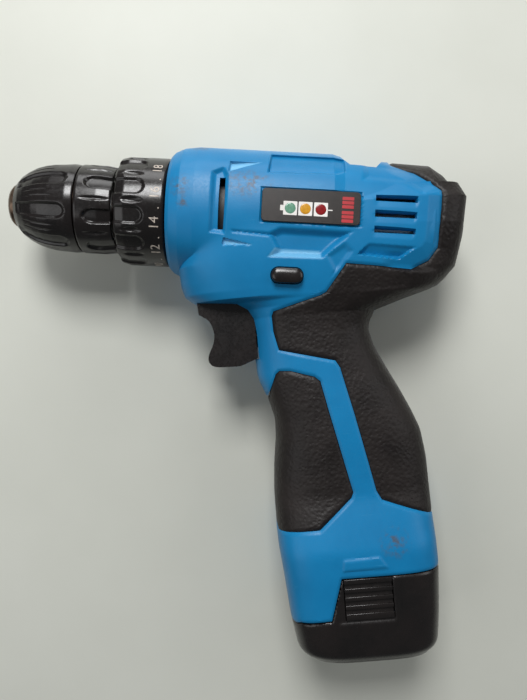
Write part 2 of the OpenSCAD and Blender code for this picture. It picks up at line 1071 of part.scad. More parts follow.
// Battery
module tower_outline(grow) {
    for (x = [-15.8, 15.8])
        for (y = [-5, 5])
            translate([x, y])
                circle(r = 10 + grow);
    square([2 * (25.8 + grow), 10], center = true);
    square([31.6, 2 * (15 + grow)], center = true);
}

// Battery body below the skirt, and the narrower part that the skirt covers
module battery_solid() {
    difference() {
        loft(outline_rings(0, 34, 0));
        translate([0, 0, -skirt_gap])
            side_extrude(60)
            polygon(skirt_edge);
    }
    intersection() {
        loft(outline_rings(0, 34, 3));
        translate([0, 0, 3])
            linear_extrude(30.5)
            polygon(squircle(-26.4, 26.5, 21.2, 4.5));
    }
}

module battery_base() {
    color(gloss_black)
        difference() {
            battery_solid();
            difference() {
                translate([0, 0, 3])
                    linear_extrude(40)
                    polygon(squircle(-25.1, 25.3, 19.6, 4.2));
                for (s = [-1, 1])
                    bar([-12, 12], [2, 28], [s * 14.9 - 0.5, s * 14.9 + 0.5]);
            }
            translate([0, 0, 30.8])
                linear_extrude(5)
                tower_outline(0.05);
            for (s = [-1, 1])
                bar([-9, 9.8], [17.8, 40], [s * 24 - 6.4, s * 24 + 6.4]);
        }
}

module battery_tower() {
    color(gloss_black)
        difference() {
            union() {
                translate([0, 0, 30.2])
                    linear_extrude(3.3)
                    polygon(squircle(-25, 25.2, 19.5, 4.2));
                translate([0, 0, 31])
                    linear_extrude(53)
                    tower_outline(0);
            }
            translate([0, 0, 29])
                linear_extrude(53)
                tower_outline(-0.9);
            for (x = [-9, -1, 7])
                bar([x - 3.6, x + 3.6], [80, 90], [-1, 1]);
            for (s = [-1, 1])
                bar([-9.4, 10.2], [28, 40], [s * 21 - 4.6, s * 21 + 4.6]);
        }
}

module battery_cells() {
    color([0.20, 0.45, 0.62])
        for (p = cell_spots)
            translate([p[0], p[1], 6]) {
                cylinder(r = cell_radius, h = cell_length - 1);
                cylinder(r = 4, h = cell_length);
            }
}

module battery_board() {
    color(board_green)
        translate([0, 0, 73])
        linear_extrude(1.6)
        tower_outline(-1.4);
    color(brass)
        for (x = [-9, -1, 7])
            for (s = [-1, 1])
                bar([x - 2.6, x + 2.6], [74.5, 80.5], [s * 0.95 - 0.3, s * 0.95 + 0.3]);
}

module release_button(side) {
    color(gloss_black)
        mirror([0, side < 0 ? 1 : 0, 0]) {
            difference() {
                bar([-8.7, 9.5], [18.1, 33.5], [20.5, 24.5]);
                for (z = [20.5 : 3.2 : 31])
                    bar([-10, 11], [z, z + 1.6], [23.7, 26]);
            }
            bar([-7.5, 8.3], [30, 40.5], [19.2, 21.5]);
            bar([-7.5, 8.3], [37.8, 40.5], [21, 22.9]);
        }
}

module release_button_left() {
    release_button(-1);
}

module release_button_right() {
    release_button(1);
}

module release_springs() {
    color(steel)
        for (s = [-1, 1])
            translate([0.4, s * 15.42, 24])
            rotate([-90 * s, 0, 0])
            coil(3, 0.4, 4, 5.05, 12, 6);
}

housing_left();
housing_right();
rear_grip_left();
rear_grip_right();
front_grip_left();
front_grip_right();
housing_screws();
indicator_panel();
indicator_lenses();
indicator_board();
gear_case();
spindle_bearings();
fixed_ring_gear();
clutch_ring_gear();
clutch_balls();
clutch_washer();
clutch_spring();
clutch_nut();
torque_collar();
spindle();
output_carrier();
output_planet_1();
output_planet_2();
output_planet_3();
middle_carrier();
middle_planet_1();
middle_planet_2();
middle_planet_3();
motor_pinion();
motor_plate();
motor_can();
motor_magnets();
motor_end_cap();
motor_brushes();
motor_shaft();
armature_core();
armature_windings();
commutator();
switch_body();
trigger();
trigger_spring();
direction_button();
direction_lever();
terminal_block();
leads();
chuck_body();
chuck_front_sleeve();
chuck_rear_sleeve();
chuck_nut();
jaw_1();
jaw_2();
jaw_3();
chuck_screw();
battery_base();
battery_tower();
battery_cells();
battery_board();
release_button_left();
release_button_right();
release_springs();
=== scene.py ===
import bpy
import bmesh
import math
import numpy as np
from mathutils import Matrix, Vector


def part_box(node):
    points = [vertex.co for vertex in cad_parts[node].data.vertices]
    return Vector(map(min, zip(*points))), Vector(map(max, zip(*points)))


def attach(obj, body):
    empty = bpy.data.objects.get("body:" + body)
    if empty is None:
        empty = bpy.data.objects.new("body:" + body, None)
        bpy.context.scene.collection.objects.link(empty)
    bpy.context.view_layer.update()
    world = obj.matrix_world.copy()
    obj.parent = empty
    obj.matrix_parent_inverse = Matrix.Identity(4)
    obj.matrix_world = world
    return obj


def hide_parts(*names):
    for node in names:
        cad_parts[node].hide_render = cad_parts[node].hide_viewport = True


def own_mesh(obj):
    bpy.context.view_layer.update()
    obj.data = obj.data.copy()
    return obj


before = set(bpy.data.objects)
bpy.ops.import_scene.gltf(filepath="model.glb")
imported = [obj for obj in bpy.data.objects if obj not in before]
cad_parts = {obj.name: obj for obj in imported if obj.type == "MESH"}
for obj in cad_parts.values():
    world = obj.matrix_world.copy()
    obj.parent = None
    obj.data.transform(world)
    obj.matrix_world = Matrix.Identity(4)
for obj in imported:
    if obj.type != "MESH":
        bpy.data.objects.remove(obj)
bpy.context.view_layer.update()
print("frame loaded")

# shape of the drill, in mm
body = {
    "nose": (-66.0, 0.0, 182.0),  # where the spindle leaves the housing's front ring
    "noseTilt": 7.5,
    "sideFlat": 25.4,
    "sideCurve": 20.0,
    "rubberThick": 1.6,
    "headStep": 0.36,
    "headPoints": 440,
    "gripStep": 0.62,
    "gripPoints": 460,
}
# height, front, rear, half width, squareness
outline = [
    (0, -21.5, 24.5, 19.0, 4), (1.2, -25.2, 27.0, 21.8, 4), (4, -27.6, 28.4, 23.4, 4.2),
    (16, -29.4, 29.5, 24.2, 4.5), (34, -31.0, 30.7, 24.6, 4.5), (43, -32.0, 30.7, 24.4, 4.2),
    (51, -32.3, 30.6, 22.4, 3.8), (63, -32.3, 30.9, 19.4, 3.4), (75, -31.4, 30.8, 19.0, 3.2),
    (86, -29.8, 29.4, 19.0, 3.1), (94, -29.6, 26.3, 18.8, 3), (103, -32.0, 22.2, 18.4, 2.9),
    (111, -35.2, 18.2, 18.0, 2.8), (121, -35.8, 13.4, 17.8, 2.8), (129, -35.7, 11.6, 18.0, 2.8),
    (135, -36.4, 14.8, 18.6, 2.8), (139, -38.6, 27.5, 19.8, 2.9), (141.8, -43.0, 37.5, 20.8, 3),
    (143.2, -58.6, 41.2, 21.2, 3), (146, -62.3, 44.6, 21.9, 3), (150, -63.5, 48.4, 22.8, 3.2),
    (157, -63.8, 50.0, 24.0, 3.8), (166, -58.0, 51.2, 24.8, 5), (176, -46.0, 53.0, 24.8, 5),
    (182, -36.0, 51.5, 22.0, 4),
]
# distance behind the front ring, radius
head = [
    (1.2, 23.2), (2.6, 24.6), (6.2, 26.2), (12, 27.0), (65, 27.0), (69, 26.0), (85, 25.0),
    (104, 24.5), (109.5, 21.4), (114, 17.6), (118, 13.0),
]
# edges of the rubber seen from the side, X and Z
rearGrip = [
    (26, 205), (24.5, 192), (32.4, 187.1), (41, 178), (38.2, 156.5), (34.5, 152), (27.1, 149),
    (1.9, 152.9), (-6.3, 142.8), (-8.6, 141.7), (-27, 137.1), (-27.8, 135.4), (-27.6, 129.2),
    (-26, 121.8), (-4.5, 116.1), (-2.9, 113.3), (1.1, 95.1), (4.9, 76.4), (7.2, 64.8),
    (9, 61.3), (29.2, 53.3), (60, 52), (70, 60), (70, 205),
]
frontGrip = [
    (-31.8, 103.2), (-28, 112.5), (-26.5, 113.7), (-22.1, 113.4), (-13, 110.5), (-10.9, 108.6),
    (-8.5, 96.5), (-3.6, 73.7), (-1.7, 64.8), (-2.6, 62.8), (-15.8, 51.9), (-31.9, 50.9),
    (-50, 50.5), (-50, 103.2),
]
skirt = [
    (-60, 15), (-29.3, 15.1), (-25.8, 17), (-14.2, 18.1), (-9.4, 33.9), (60, 33.9),
    (60, 230), (-90, 230), (-90, 15),
]
tilt = math.radians(body["noseTilt"])
rearward = np.array([math.cos(tilt), 0, -math.sin(tilt)])
upward = np.array([math.sin(tilt), 0, math.cos(tilt)])
across = np.array([0.0, 1.0, 0.0])
nosePoint = np.array(body["nose"])


def onSpindle(along, side, up):
    along, side, up = np.broadcast_arrays(along, side, up)
    return (nosePoint + along[..., None] * rearward + side[..., None] * across
            + up[..., None] * upward)


def fromSpindle(points):
    away = points - nosePoint
    return away @ rearward, away @ upward


def softStep(value, start, stop):
    t = np.clip((value - start) / (stop - start), 0, 1)
    return t * t * (3 - 2 * t)


def rampUp(value, wall):
    return softStep(value, 0, wall)


def squareRound(angle, power):
    return np.sign(angle) * np.abs(angle) ** (2 / power)


# mesh helpers
def makePiece(name, points, faces):
    mesh = bpy.data.meshes.new(name)
    mesh.from_pydata((np.asarray(points).reshape(-1, 3) * 0.001).tolist(), [], faces)
    mesh.update()
    piece = bpy.data.objects.new(name, mesh)
    bpy.context.scene.collection.objects.link(piece)
    return piece


def loftPiece(name, rings, closed=False):
    rings = np.asarray(rings)
    count, around = rings.shape[:2]
    faces = []
    for k in range(count if closed else count - 1):
        a, b = k * around, (k + 1) % count * around
        faces += [(a + i, a + (i + 1) % around, b + (i + 1) % around, b + i) for i in range(around)]
    if not closed:
        faces += [tuple(range(around))[::-1], tuple(range((count - 1) * around, count * around))]
    piece = makePiece(name, rings, faces)
    faceOutward(piece)
    return piece


def faceOutward(piece):
    shape = bmesh.new()
    shape.from_mesh(piece.data)
    bmesh.ops.recalc_face_normals(shape, faces=shape.faces)
    shape.to_mesh(piece.data)
    shape.free()


def sidePrism(name, polygon, low=-40.0, high=40.0):
    edge = np.array([(x, 0, z) for x, z in polygon], float)
    return loftPiece(name, [edge + across * low, edge + across * high])


def spindleBox(name, along, side, up):
    corners = [(along[0], up[0]), (along[1], up[0]), (along[1], up[1]), (along[0], up[1])]
    ring = [onSpindle(a, 0, u) for a, u in corners]
    return loftPiece(name, [np.array(ring) + across * side[0], np.array(ring) + across * side[1]])


def combine(target, tool, operation="DIFFERENCE", keep=False):
    change = target.modifiers.new("combine", "BOOLEAN")
    change.operation = operation
    change.solver = "MANIFOLD"
    change.object = tool
    bpy.context.view_layer.update()
    made = bpy.data.meshes.new_from_object(target.evaluated_get(bpy.context.evaluated_depsgraph_get()))
    target.modifiers.clear()
    target.data = made
    if not keep:
        bpy.data.objects.remove(tool)
    return target


def duplicate(piece, name):
    twin = bpy.data.objects.new(name, piece.data.copy())
    bpy.context.scene.collection.objects.link(twin)
    return twin


def pointsOf(piece):
    at = np.zeros(len(piece.data.vertices) * 3)
    piece.data.vertices.foreach_get("co", at)
    return at.reshape(-1, 3) * 1000


def normalsOf(piece):
    direction = np.zeros(len(piece.data.vertices) * 3)
    piece.data.vertices.foreach_get("normal", direction)
    return direction.reshape(-1, 3)


def movePoints(piece, points):
    piece.data.vertices.foreach_set("co", (points * 0.001).ravel())
    piece.data.update()


def smooth(piece, angle=35):
    piece.data.polygons.foreach_set("use_smooth", [True] * len(piece.data.polygons))
    piece.data.set_sharp_from_angle(angle=math.radians(angle))
    return piece


def finishPiece(piece, finish, rides, *nodes, slot=None):
    piece.data.materials.clear()
    piece.data.materials.append(finish)
    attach(piece, rides)
    if nodes:
        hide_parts(*nodes)
    return piece


def insideDistance(x, z, polygon):
    # above zero inside the polygon, below zero outside it
    p = np.stack([x, z], -1)
    corners = np.array(polygon, float)
    nearest = np.full(len(p), 1e9)
    inside = np.zeros(len(p), bool)
    for a, b in zip(corners, np.roll(corners, -1, 0)):
        edge = b - a
        t = np.clip(((p - a) @ edge) / (edge @ edge), 0, 1)
        nearest = np.minimum(nearest, np.linalg.norm(p - a - t[:, None] * edge, axis=1))
        crosses = (a[1] > p[:, 1]) != (b[1] > p[:, 1])
        rise = edge[1] if edge[1] else 1e-9
        inside ^= crosses & (p[:, 0] < a[0] + edge[0] * (p[:, 1] - a[1]) / rise)
    return np.where(inside, nearest, -nearest)


# finishes
def colour(r, g, b):
    return (r, g, b, 1)


def shaderSetup(name):
    finish = bpy.data.materials.new(name)
    finish.use_nodes = True
    nodes = finish.node_tree.nodes
    return finish, nodes, finish.node_tree.links, nodes["Principled BSDF"]


def addNode(nodes, kind, values=None, **settings):
    node = nodes.new(kind)
    for key, value in settings.items():
        setattr(node, key, value)
    for key, value in (values or {}).items():
        node.inputs[key].default_value = value
    return node


def place(nodes):
    return addNode(nodes, "ShaderNodeTexCoord").outputs["Object"]


def noiseOf(nodes, links, at, scale, detail=4, rough=0.6):
    texture = addNode(nodes, "ShaderNodeTexNoise", {"Scale": scale, "Detail": detail, "Roughness": rough})
    links.new(at, texture.inputs["Vector"])
    return texture.outputs["Fac"]


def rampOf(nodes, links, value, first, second, start=0.3, stop=0.7):
    # runs from one tone to another; a single number stands for a grey
    ramp = addNode(nodes, "ShaderNodeValToRGB")
    for element, position, tone in zip(ramp.color_ramp.elements, (start, stop), (first, second)):
        element.position = position
        element.color = (tone, tone, tone, 1) if isinstance(tone, (int, float)) else (*tone, 1)
    links.new(value, ramp.inputs["Fac"])
    return ramp.outputs["Color"]


def mixOf(nodes, links, amount, first, second, kind="MIX"):
    mix = addNode(nodes, "ShaderNodeMix", data_type="RGBA", blend_type=kind)
    for key, value in ((0, amount), (6, first), (7, second)):
        if isinstance(value, bpy.types.NodeSocket):
            links.new(value, mix.inputs[key])
        else:
            mix.inputs[key].default_value = value
    return mix.outputs[2]


def mathOf(nodes, links, kind, first, second=0.0):
    step = addNode(nodes, "ShaderNodeMath", operation=kind)
    for key, value in ((0, first), (1, second)):
        if isinstance(value, bpy.types.NodeSocket):
            links.new(value, step.inputs[key])
        else:
            step.inputs[key].default_value = value
    return step.outputs[0]


def bumpOf(nodes, links, shader, height, strength, distance):
    bump = addNode(nodes, "ShaderNodeBump", {"Strength": strength, "Distance": distance})
    links.new(height, bump.inputs["Height"])
    links.new(bump.outputs["Normal"], shader.inputs["Normal"])


def plainFinish(name, look):
    finish, nodes, links, shader = shaderSetup(name)
    at = place(nodes)
    mottling = noiseOf(nodes, links, at, look.get("mottle", 90))
    grain = noiseOf(nodes, links, at, look.get("grain", 1800), 2)
    low, high = look["tones"]
    tone = rampOf(nodes, links, mottling, low, high)
    links.new(tone, shader.inputs["Base Color"])
    rough = rampOf(nodes, links, grain, *look["rough"], 0.3, 0.75)
    links.new(rough, shader.inputs["Roughness"])
    shader.inputs["Metallic"].default_value = look.get("metal", 0.0)
    shader.inputs["Specular IOR Level"].default_value = look.get("shine", 0.5)
    bumpOf(nodes, links, shader, grain, look.get("bump", 0.15), look.get("depth", 0.00004))
    return finish


def dirtSpot(nodes, links, at, centre, size, noise):
    # a worn, dirty patch round a place, as a mask
    away = addNode(nodes, "ShaderNodeVectorMath", operation="DISTANCE")
    links.new(at, away.inputs[0])
    away.inputs[1].default_value = centre
    near = mathOf(nodes, links, "DIVIDE", away.outputs["Value"], size)
    fade = mathOf(nodes, links, "SUBTRACT", 1.0, near)
    return mathOf(nodes, links, "MULTIPLY", mathOf(nodes, links, "MAXIMUM", fade, 0.0), noise)


# the pale blue (0.20, 0.50, 0.74) is a painted highlight, laid on the facets and chamfer that face the
# light
blueLook = {
    "deep": (0.0035, 0.160, 0.365), "pale": (0.005, 0.200, 0.44), "scuff": (0.07, 0.33, 0.56),
    "dirt": (0.085, 0.07, 0.06), "painted_highlight_blue": (0.20, 0.50, 0.74), "rough": (0.34, 0.46),
    "spots": [((-58.5, -25, 187), 5.5), ((-35, -26, 186), 8), ((-28, -26, 185), 6), ((-50, -12, 206), 6),
              ((12, -24, 46), 7), ((-58, -25, 180), 3)],
}


def blueNylon():
    finish, nodes, links, shader = shaderSetup("blue nylon")
    at = place(nodes)
    broad = noiseOf(nodes, links, at, 38)
    specks = noiseOf(nodes, links, at, 1500, 2)
    blotch = noiseOf(nodes, links, at, 420, 5, 0.7)
    tone = rampOf(nodes, links, broad, blueLook["deep"], blueLook["pale"])
    scratch = addNode(nodes, "ShaderNodeTexNoise", {"Scale": 260.0, "Detail": 6, "Roughness": 0.8})
    stretch = addNode(nodes, "ShaderNodeMapping", {"Rotation": (0, 0.4, 0), "Scale": (0.15, 1, 2.2)})
    links.new(at, stretch.inputs["Vector"])
    links.new(stretch.outputs["Vector"], scratch.inputs["Vector"])
    rubbed = rampOf(nodes, links, scratch.outputs["Fac"], 0, 0.35, 0.62, 0.74)
    tone = mixOf(nodes, links, rubbed, tone, colour(*blueLook["scuff"]))
    speckled = rampOf(nodes, links, blotch, 0, 1, 0.46, 0.62)
    dirt = 0.0
    for centre, size in blueLook["spots"]:
        spot = dirtSpot(nodes, links, at, [c * 0.001 for c in centre], size * 0.001, speckled)
        dirt = mathOf(nodes, links, "ADD", dirt, spot)
    dirt = mathOf(nodes, links, "MINIMUM", dirt, 0.75)
    tone = mixOf(nodes, links, dirt, tone, colour(*blueLook["dirt"]))
    # painted highlight: the blue turns pale where the mesh marks the facets and chamfer that face the light
    painted_highlight = addNode(nodes, "ShaderNodeAttribute", attribute_name="painted_highlight")
    pale = mathOf(nodes, links, "MULTIPLY", painted_highlight.outputs["Fac"], 0.8)
    tone = mixOf(nodes, links, pale, tone, colour(*blueLook["painted_highlight_blue"]))
    links.new(tone, shader.inputs["Base Color"])
    rough = rampOf(nodes, links, specks, *blueLook["rough"])
    links.new(rough, shader.inputs["Roughness"])
    shader.inputs["Specular IOR Level"].default_value = 0.3
    bumpOf(nodes, links, shader, specks, 0.3, 0.00006)
    return finish


rubberLook = {"deep": (0.006, 0.0042, 0.0038), "pale": (0.0145, 0.0105, 0.0095), "grain": 780.0}


def gripRubber():
    finish, nodes, links, shader = shaderSetup("grip rubber")
    at = place(nodes)
    warped = addNode(nodes, "ShaderNodeTexNoise", {"Scale": 500.0, "Detail": 3})
    links.new(at, warped.inputs["Vector"])
    shifted = mixOf(nodes, links, 0.0012, at, warped.outputs["Color"], "ADD")
    cells = addNode(nodes, "ShaderNodeTexVoronoi", {"Scale": rubberLook["grain"]}, feature="SMOOTH_F1")
    links.new(shifted, cells.inputs["Vector"])
    broad = noiseOf(nodes, links, at, 60)
    fine = noiseOf(nodes, links, at, 2600, 2)
    tone = rampOf(nodes, links, broad, rubberLook["deep"], rubberLook["pale"])
    dust = rampOf(nodes, links, noiseOf(nodes, links, at, 900, 3), 0, 0.5, 0.70, 0.78)
    tone = mixOf(nodes, links, dust, tone, colour(0.06, 0.05, 0.045))
    links.new(tone, shader.inputs["Base Color"])
    rough = rampOf(nodes, links, broad, 0.42, 0.56)
    links.new(rough, shader.inputs["Roughness"])
    shader.inputs["Specular IOR Level"].default_value = 0.35
    fine = mathOf(nodes, links, "MULTIPLY", fine, 0.2)
    height = mathOf(nodes, links, "ADD", cells.outputs["Distance"], fine)
    bumpOf(nodes, links, shader, height, 0.75, 0.00028)
    return finish


def glossBlack(name, rough, dusty):
    finish, nodes, links, shader = shaderSetup(name)
    at = place(nodes)
    broad = noiseOf(nodes, links, at, 70)
    fine = noiseOf(nodes, links, at, 900, 6, 0.75)
    tone = rampOf(nodes, links, broad, (0.006, 0.0052, 0.0052), (0.0125, 0.0095, 0.009))
    dust = rampOf(nodes, links, fine, 0, dusty, 0.64, 0.76)
    tone = mixOf(nodes, links, dust, tone, colour(0.16, 0.14, 0.12))
    links.new(tone, shader.inputs["Base Color"])
    gloss = rampOf(nodes, links, fine, *rough, 0.35, 0.75)
    links.new(gloss, shader.inputs["Roughness"])
    bumpOf(nodes, links, shader, noiseOf(nodes, links, at, 260, 3), 0.12, 0.00012)
    return finish


looks = {
    "dark_plastic": {"tones": ((0.010, 0.009, 0.009), (0.018, 0.016, 0.016)), "rough": (0.36, 0.5),
                     "bump": 0.3},
    "blued_steel": {"tones": ((0.09, 0.062, 0.045), (0.19, 0.135, 0.10)), "rough": (0.26, 0.42),
                    "metal": 1.0},
    "grey_nylon": {"tones": ((0.018, 0.019, 0.021), (0.030, 0.031, 0.034)), "rough": (0.45, 0.6)},
    "white_nylon": {"tones": ((0.62, 0.58, 0.50), (0.74, 0.70, 0.62)), "rough": (0.4, 0.55)},
    "steel": {"tones": ((0.42, 0.42, 0.44), (0.60, 0.59, 0.58)), "rough": (0.22, 0.42),
              "metal": 1.0, "grain": 3200},
    "dark_steel": {"tones": ((0.07, 0.062, 0.056), (0.15, 0.13, 0.12)), "rough": (0.32, 0.5),
                   "metal": 1.0},
    "spring_steel": {"tones": ((0.32, 0.32, 0.34), (0.5, 0.5, 0.52)), "rough": (0.2, 0.35),
                     "metal": 1.0},
    "magnet": {"tones": ((0.010, 0.010, 0.011), (0.022, 0.022, 0.024)), "rough": (0.5, 0.7),
               "bump": 0.4},
    "copper": {"tones": ((0.52, 0.18, 0.07), (0.72, 0.30, 0.13)), "rough": (0.22, 0.4), "metal": 1.0},
    "brass": {"tones": ((0.55, 0.36, 0.10), (0.72, 0.50, 0.18)), "rough": (0.2, 0.35), "metal": 1.0},
    "carbon": {"tones": ((0.02, 0.02, 0.022), (0.04, 0.04, 0.043)), "rough": (0.5, 0.7), "bump": 0.4},
    "board": {"tones": ((0.006, 0.08, 0.03), (0.012, 0.13, 0.05)), "rough": (0.3, 0.45)},
    "cell_wrap": {"tones": ((0.03, 0.14, 0.28), (0.045, 0.19, 0.36)), "rough": (0.25, 0.4)},
    "wire": {"tones": ((0.26, 0.010, 0.007), (0.36, 0.018, 0.012)), "rough": (0.35, 0.5)},
    "paint": {"tones": ((0.34, 0.29, 0.25), (0.66, 0.58, 0.50)), "rough": (0.45, 0.6), "mottle": 700},
    "print": {"tones": ((0.60, 0.58, 0.55), (0.78, 0.76, 0.73)), "rough": (0.4, 0.5)},
    "red_print": {"tones": ((0.36, 0.012, 0.018), (0.46, 0.020, 0.028)), "rough": (0.35, 0.5)},
    "label": {"tones": ((0.010, 0.0075, 0.0065), (0.019, 0.0135, 0.0115)), "rough": (0.3, 0.45),
              "mottle": 400},
    "green_lens": {"tones": ((0.10, 0.24, 0.16), (0.16, 0.34, 0.24)), "rough": (0.12, 0.25),
                   "mottle": 900},
    "amber_lens": {"tones": ((0.50, 0.22, 0.012), (0.66, 0.34, 0.03)), "rough": (0.12, 0.25),
                   "mottle": 900},
    "red_lens": {"tones": ((0.16, 0.006, 0.008), (0.30, 0.014, 0.016)), "rough": (0.12, 0.25),
                 "mottle": 900},
}
finishes = {name: plainFinish(name.replace("_", " "), look) for name, look in looks.items()}
finishes["blue_nylon"] = blueNylon()
finishes["rubber"] = gripRubber()
finishes["black_plastic"] = glossBlack("gloss black", (0.17, 0.32), 0.05)
finishes["battery_plastic"] = glossBlack("battery black", (0.22, 0.40), 0.12)
print("finishes made")


# housing and grips
def gripRings(inset, low, high, step, count):
    rows = np.array(outline)
    fineFrom = 135  # the rows are closer together above the trigger
    heights = np.arange(low, high + step / 2, step)
    if high >= fineFrom:
        above = np.arange(fineFrom, high + step / 3, step * 0.66)
        heights = np.append(np.arange(low, fineFrom, step), above)
    fine = np.arange(low - 6, high + 6, 0.5)
    values = []
    for column in range(1, 5):
        exact = np.interp(heights, rows[:, 0], rows[:, column])
        spread = np.interp(fine, rows[:, 0], rows[:, column])
        spread = np.convolve(np.pad(spread, 8, "edge"), np.hanning(17) / np.hanning(17).sum(), "valid")
        eased = np.interp(heights, fine, spread)
        # the grip is eased, the chin and the head end keep their edges
        keep = softStep(heights, 128, 136)
        values.append(eased * (1 - keep) + exact * keep)
    front, rear, half, power = values
    # even spacing round the widest ring
    turns = 2 * math.pi * np.arange(4001) / 4000
    widest = np.stack([57 * squareRound(np.cos(turns), 3.6), 24 * squareRound(np.sin(turns), 3.6)], -1)
    run = np.append(0, np.cumsum(np.linalg.norm(np.diff(widest, axis=0), axis=1)))
    angle = np.interp((np.arange(count) + 0.5) / count * run[-1], run, turns)
    x = (front + rear)[:, None] / 2 + ((rear - front) / 2 - inset)[:, None] * squareRound(
        np.cos(angle)[None, :], power[:, None])
    y = (half - inset)[:, None] * squareRound(np.sin(angle)[None, :], power[:, None])
    return np.stack([x, y, np.broadcast_to(heights[:, None], x.shape)], -1)


def headRings(inset, step, count):
    rows = np.array(head)
    stations = np.arange(rows[0, 0], 118, step)
    stations = np.unique(np.concatenate([stations, rows[:, 0]]))
    radius = np.interp(stations, rows[:, 0], rows[:, 1]) - inset
    angle = 2 * math.pi * np.arange(count) / count
    side = radius[:, None] * np.sin(angle)
    up = radius[:, None] * np.cos(angle)
    flat, curved = body["sideFlat"] - inset, body["sideCurve"]
    # the sides are flattened gently, so that no edge shows
    beyond = np.clip((np.abs(side) - curved) / (27.0 - inset - curved), 0, 1)
    side -= np.sign(side) * (27.0 - inset - flat) * beyond ** 2
    start = stations - inset * softStep(stations, 60, 118)
    return onSpindle(start[:, None], side, up)


def outerSolid(name, inset, fine):
    step, count = (body["headStep"], body["headPoints"]) if fine else (2.0, 96)
    gripStep, gripCount = (body["gripStep"], body["gripPoints"]) if fine else (2.0, 96)
    solid = loftPiece(name, headRings(inset, step, count))
    grip = loftPiece(name + "Grip", gripRings(inset, 16, 182, gripStep, gripCount))
    return combine(solid, grip, "UNION")


# what stands out of or sinks into the side, on the spindle: along, up
relief = {
    "slotDish": [(18.1, 12.2), (23.2, 14.8), (25.2, 11.0), (25.2, -10.6), (24.6, -12.2), (18.0, -11.6)],
    "topFacet": [(25.1, 16.7), (37.6, 16.9), (24.8, 12.2)],
    "lowFacet": [(24.0, -13.0), (36.4, -15.4), (23.6, -15.8)],
    "shoulder": [(39.4, 12.4), (66.2, 13.2), (69.5, 14.9), (69.5, 22), (40.4, 22)],
    "label": [(37.7, -6.4), (75.4, -6.4), (75.4, 6.4), (37.7, 6.4)],
    "valley": [(26, -9.4), (41.2, -9.9), (45.3, -7.7), (73.5, -7.9), (70.4, -11.6), (66.5, -15.0),
               (62.2, -19.4), (40.6, -19.8), (43.5, -15.9), (41.4, -12.2), (27, -11.3)],
    "besideButton": [(62.4, -17.5), (70.4, -11.8), (74, -15.5), (70, -22), (64.5, -27.5), (66.0, -23)],
    "lowerRear": [(79, -12), (98.2, -12.3), (91.4, -17.6), (74.6, -16.8)],
    "louvre": [(79.2, -11.7), (80.0, 6.9), (97.8, 7.1), (96.8, -12.2)],
    "upperRear": [(75.1, 11.3), (92.0, 10.4), (98.6, 6.6), (106, 12), (96, 22), (76, 22)],
    "chamfer": [(43.5, -15.7), (61, -15.7), (62, -19.2), (40.8, -19.6)],
    "plaque": [(-8.4, 41.2), (5.9, 41.6), (9.0, 36.7), (-9.0, 36.4)],
}
slats = [4.9, -1.1, -7.1]  # heights of the three rear slots
slatHalf = 0.95


def pocket(along, up, name, depth, wall):
    return depth * rampUp(insideDistance(along, up, relief[name]), wall)


def sideRelief(points, labelSide):
    # depth below the plain side, and where the moulding gets a painted highlight
    along, up = fromSpindle(points)
    sunk = pocket(along, up, "slotDish", 1.5, 2.2)
    top = insideDistance(along, up, relief["topFacet"])
    low = insideDistance(along, up, relief["lowFacet"])
    sunk += np.clip(top / 0.4, 0, 1) * 1.7 * np.clip((38.5 - along) / 13, 0, 1)
    sunk += np.clip(low / 0.4, 0, 1) * 1.5 * np.clip((37.5 - along) / 13, 0, 1)
    sunk += pocket(along, up, "shoulder", 1.7, 0.9)
    sunk += pocket(along, up, "valley", 2.3, 2.9)
    sunk += pocket(along, up, "besideButton", 0.9, 2.4)
    lower = insideDistance(along, up, relief["lowerRear"])
    sunk += rampUp(lower, 1.1) * 2.2 * np.clip((-11.6 - up) / 4.4, 0, 1)
    sunk += pocket(along, up, "upperRear", 1.0, 3.5)
    louvre = insideDistance(along, up, relief["louvre"])
    raised = 0.3 * np.clip(louvre / 0.7, 0, 1)
    for k, height in enumerate(slats):
        under = slats[k + 1] if k < 2 else -12.4
        share = np.clip((up - under - slatHalf) / (height - under - 2 * slatHalf), 0, 1)
        band = (up < height) & (up > under)
        raised -= np.where(band, 0.75 * share * np.clip(louvre / 1.4, 0, 1), 0)
    sunk -= raised
    if labelSide:
        label = insideDistance(along, up, relief["label"])
        sunk = np.maximum(sunk, 0.75 * np.clip(label / 0.35 + 1, 0, 1))
    plaque = insideDistance(points[:, 0], points[:, 2], relief["plaque"])
    sunk -= 0.55 * np.clip(plaque / 0.8, 0, 1)
    # painted highlight: the two triangular facets and the chamfer are marked to be painted paler, as if lit
    painted_highlight = np.clip(np.maximum(top, low) / 0.4, 0, 1)
    chamfer = insideDistance(along, up, relief["chamfer"])
    painted_highlight = np.maximum(painted_highlight, 0.8 * np.clip(chamfer / 0.5, 0, 1))
    return sunk, painted_highlight


def borderDistance(points, polygon):
    return -insideDistance(points[:, 0], points[:, 2], polygon)


